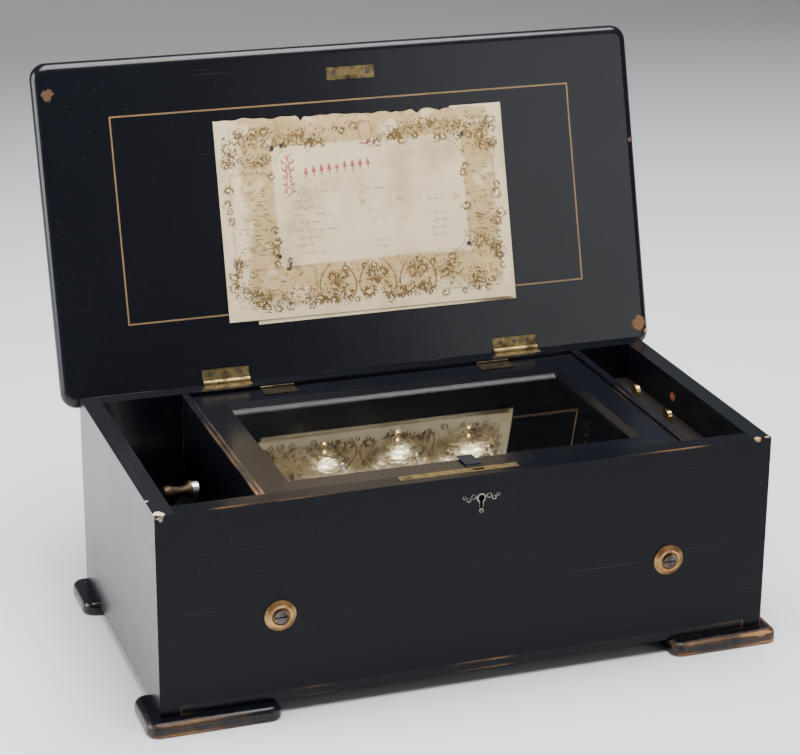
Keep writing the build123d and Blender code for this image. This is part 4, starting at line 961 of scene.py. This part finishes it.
class MUSICBOX_OT_cylinder_pins(bpy.types.Operator):
    """Set the tune's steel pins round the cylinder"""
    bl_idname = "musicbox.cylinder_pins"
    bl_label = "Cylinder pins"

    def execute(self, context):
        works = context.scene.box_works
        low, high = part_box("music_cylinder")
        middle = ((low[1] + high[1]) / 2, (low[2] + high[2]) / 2)
        radius = (high[2] - low[2]) / 2
        steel = bpy.data.materials["Steel"]
        tree = bpy.data.node_groups.new("Cylinder pins", "GeometryNodeTree")
        tree.interface.new_socket("Geometry", in_out="INPUT", socket_type="NodeSocketGeometry")
        given = {}
        for label, kind in (("Pins", "Int"), ("Cylinder radius", "Float"), ("Start", "Float"),
                            ("End", "Float"), ("Axis place", "Vector"), ("Pin radius", "Float"),
                            ("Pin length", "Float"), ("Seed", "Int")):
            given[label] = tree.interface.new_socket(label, in_out="INPUT",
                                                     socket_type="NodeSocket" + kind).identifier
        tree.interface.new_socket("Geometry", in_out="OUTPUT", socket_type="NodeSocketGeometry")
        inputs = put(tree, "NodeGroupInput").outputs
        around = put(tree, "FunctionNodeRandomValue", {"Seed": inputs["Seed"]}, data_type="FLOAT")
        along = put(tree, "FunctionNodeRandomValue", {"Seed": calc(tree, "ADD", inputs["Seed"], 1.0)},
                    data_type="FLOAT")
        tree.links.new(inputs["Start"], along.inputs[2])
        tree.links.new(inputs["End"], along.inputs[3])
        around.inputs[2].default_value = 0.0
        around.inputs[3].default_value = 2 * math.pi
        angle = around.outputs[1]
        # every row of pins lines up under one tooth of the comb
        row = calc(tree, "SNAP", along.outputs[1], PIN_ROW_PITCH)
        outward = put(tree, "ShaderNodeCombineXYZ",
                      {1: calc(tree, "COSINE", angle), 2: calc(tree, "SINE", angle)}).outputs[0]
        reach = put(tree, "ShaderNodeVectorMath", {0: outward, "Scale": inputs["Cylinder radius"]},
                    operation="SCALE").outputs[0]
        slide = put(tree, "ShaderNodeCombineXYZ", {0: row}).outputs[0]
        spot = put(tree, "ShaderNodeVectorMath", {0: reach, 1: slide}, operation="ADD").outputs[0]
        spot = put(tree, "ShaderNodeVectorMath", {0: spot, 1: inputs["Axis place"]},
                   operation="ADD").outputs[0]
        dots = put(tree, "GeometryNodePoints", {"Count": inputs["Pins"], "Position": spot})
        facing = put(tree, "FunctionNodeAlignRotationToVector", {}, axis="Z")
        store = put(tree, "GeometryNodeStoreNamedAttribute",
                    {"Geometry": dots.outputs[0], "Name": "outward"},
                    data_type="FLOAT_VECTOR", domain="POINT")
        tree.links.new(outward, store.inputs["Value"])
        kept = put(tree, "GeometryNodeInputNamedAttribute", {"Name": "outward"}, data_type="FLOAT_VECTOR")
        tree.links.new(kept.outputs[0], facing.inputs["Vector"])
        pin = put(tree, "GeometryNodeMeshCylinder",
                  {"Vertices": 6, "Radius": inputs["Pin radius"], "Depth": inputs["Pin length"]})
        instances = put(tree, "GeometryNodeInstanceOnPoints", {
            "Points": store.outputs[0], "Instance": pin.outputs[0], "Rotation": facing.outputs[0]})
        real = put(tree, "GeometryNodeRealizeInstances", {"Geometry": instances.outputs[0]})
        painted = put(tree, "GeometryNodeSetMaterial", {"Geometry": real.outputs[0], "Material": steel})
        put(tree, "NodeGroupOutput", {0: painted.outputs[0]})
        mesh = bpy.data.meshes.new("pins")
        source = bpy.data.objects.new("pins", mesh)
        context.scene.collection.objects.link(source)
        nodes = source.modifiers.new("Pins", "NODES")
        nodes.node_group = tree
        values = {"Pins": works.pins, "Cylinder radius": radius + works.pin_length / 2 - 0.1 * MM,
                  "Start": low[0] + 5 * MM, "End": high[0] - 10 * MM,
                  "Axis place": (0.0, middle[0], middle[1]),
                  "Pin radius": works.pin_radius, "Pin length": works.pin_length, "Seed": works.seed}
        for label, value in values.items():
            nodes[given[label]] = value
        evaluated = source.evaluated_get(context.evaluated_depsgraph_get())
        finished = bpy.data.meshes.new_from_object(evaluated)
        source.modifiers.remove(nodes)
        source.data = finished
        source.name = "cylinder_pins"
        if len(finished.polygons) < works.pins:
            raise RuntimeError("the pins were not built")
        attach(source, "cylinder")
        return {"FINISHED"}


class MUSICBOX_OT_stage(bpy.types.Operator):
    """Lay a sweep under the box, white at the front and painted darker grey towards the back as painted
    shade of the light falling off, and light it from the left
    """
    bl_idname = "musicbox.stage"
    bl_label = "Stage and lights"

    def lamp(self, name, place, target, size, power, tint=(1.0, 1.0, 1.0)):
        data = bpy.data.lights.new(name, "AREA")
        data.shape = "RECTANGLE"
        data.size, data.size_y = size
        data.energy = power
        data.color = tint
        lamp = bpy.data.objects.new(name, data)
        facing = (Vector(target) - Vector(place)).to_track_quat("-Z", "Y").to_matrix().to_4x4()
        lamp.matrix_world = Matrix.Translation(place) @ facing
        bpy.context.scene.collection.objects.link(lamp)
        return lamp

    def execute(self, context):
        made, tree, shader, place = material("Paper sweep")
        height = put(tree, "ShaderNodeSeparateXYZ", {0: place}).outputs[1]
        # the sweep's colour fades from white to grey towards the back: painted shade where the light falls
        # off
        far = fade(tree, height, 0.35, 2.6)
        base = blend(tree, far, (0.86, 0.86, 0.88), (0.34, 0.345, 0.35))
        drive(tree, shader, Base_Color=base, Roughness=0.7)
        profile = [(-3.5, 0.0), (-1.0, 0.0), (0.8, 0.0), (2.2, 0.0)]
        profile += [(2.2 + 1.2 * math.sin(a), 1.2 - 1.2 * math.cos(a))
                    for a in (math.pi / 2 * i / 12 for i in range(1, 13))]
        profile.append((3.4, 4.0))
        points = [(x, y, z) for y, z in profile for x in (-5.0, 5.0)]
        faces = [(2 * i, 2 * i + 1, 2 * i + 3, 2 * i + 2) for i in range(len(profile) - 1)]
        mesh = bpy.data.meshes.new("sweep")
        mesh.from_pydata(points, [], faces)
        mesh.materials.append(made)
        mesh.polygons.foreach_set("use_smooth", [True] * len(faces))
        sweep = bpy.data.objects.new("sweep", mesh)
        context.scene.collection.objects.link(sweep)
        self.lamp("side_softbox", (-1.9, 0.25, 0.75), (-0.2, 0.0, 0.15), (1.3, 1.3), 44)
        self.lamp("overhead_softbox", (0.2, -0.1, 2.3), (0.0, 0.1, 0.1), (2.2, 1.4), 128)
        self.lamp("right_softbox", (1.75, -2.8, 1.15), (0.1, 0.0, 0.25), (1.3, 1.6), 12)
        world = context.scene.world or bpy.data.worlds.new("world")
        context.scene.world = world
        world.use_nodes = True
        sky = world.node_tree.nodes["Background"]
        sky.inputs["Color"].default_value = (0.75, 0.80, 0.90, 1)
        sky.inputs["Strength"].default_value = 0.18
        return {"FINISHED"}


OPERATORS = (
    MUSICBOX_OT_camera, MUSICBOX_OT_effects, MUSICBOX_OT_case, MUSICBOX_OT_lid, MUSICBOX_OT_glass_lid,
    MUSICBOX_OT_pull_tab, MUSICBOX_OT_sheets, MUSICBOX_OT_metalwork, MUSICBOX_OT_bells,
    MUSICBOX_OT_cylinder_pins, MUSICBOX_OT_stage)


class MUSICBOX_PT_sidebar(bpy.types.Panel):
    """Lists the pieces and their settings"""
    bl_idname = "MUSICBOX_PT_sidebar"
    bl_label = "Musical box"
    bl_space_type = "VIEW_3D"
    bl_region_type = "UI"
    bl_category = "Musical Box"

    def draw(self, context):
        layout = self.layout
        for settings in (context.scene.box_case, context.scene.box_metal, context.scene.box_sheet,
                         context.scene.box_works):
            column = layout.column(align=True)
            for name in type(settings).__annotations__:
                column.prop(settings, name)
        for operator in OPERATORS:
            layout.operator(operator.bl_idname)


GROUPS = {"box_case": CaseFinish, "box_metal": MetalFinish, "box_sheet": SheetFinish,
          "box_works": WorksDetail}


def register():
    for kind in (*GROUPS.values(), *OPERATORS, MUSICBOX_PT_sidebar):
        bpy.utils.register_class(kind)
    for name, kind in GROUPS.items():
        setattr(bpy.types.Scene, name, PointerProperty(type=kind))


def unregister():
    for name in GROUPS:
        delattr(bpy.types.Scene, name)
    for kind in (MUSICBOX_PT_sidebar, *reversed(OPERATORS), *reversed(list(GROUPS.values()))):
        bpy.utils.unregister_class(kind)


def main():
    register()
    for operator in OPERATORS:
        group, name = operator.bl_idname.split(".")
        getattr(getattr(bpy.ops, group), name)()


if __name__ == "__main__":
    main()
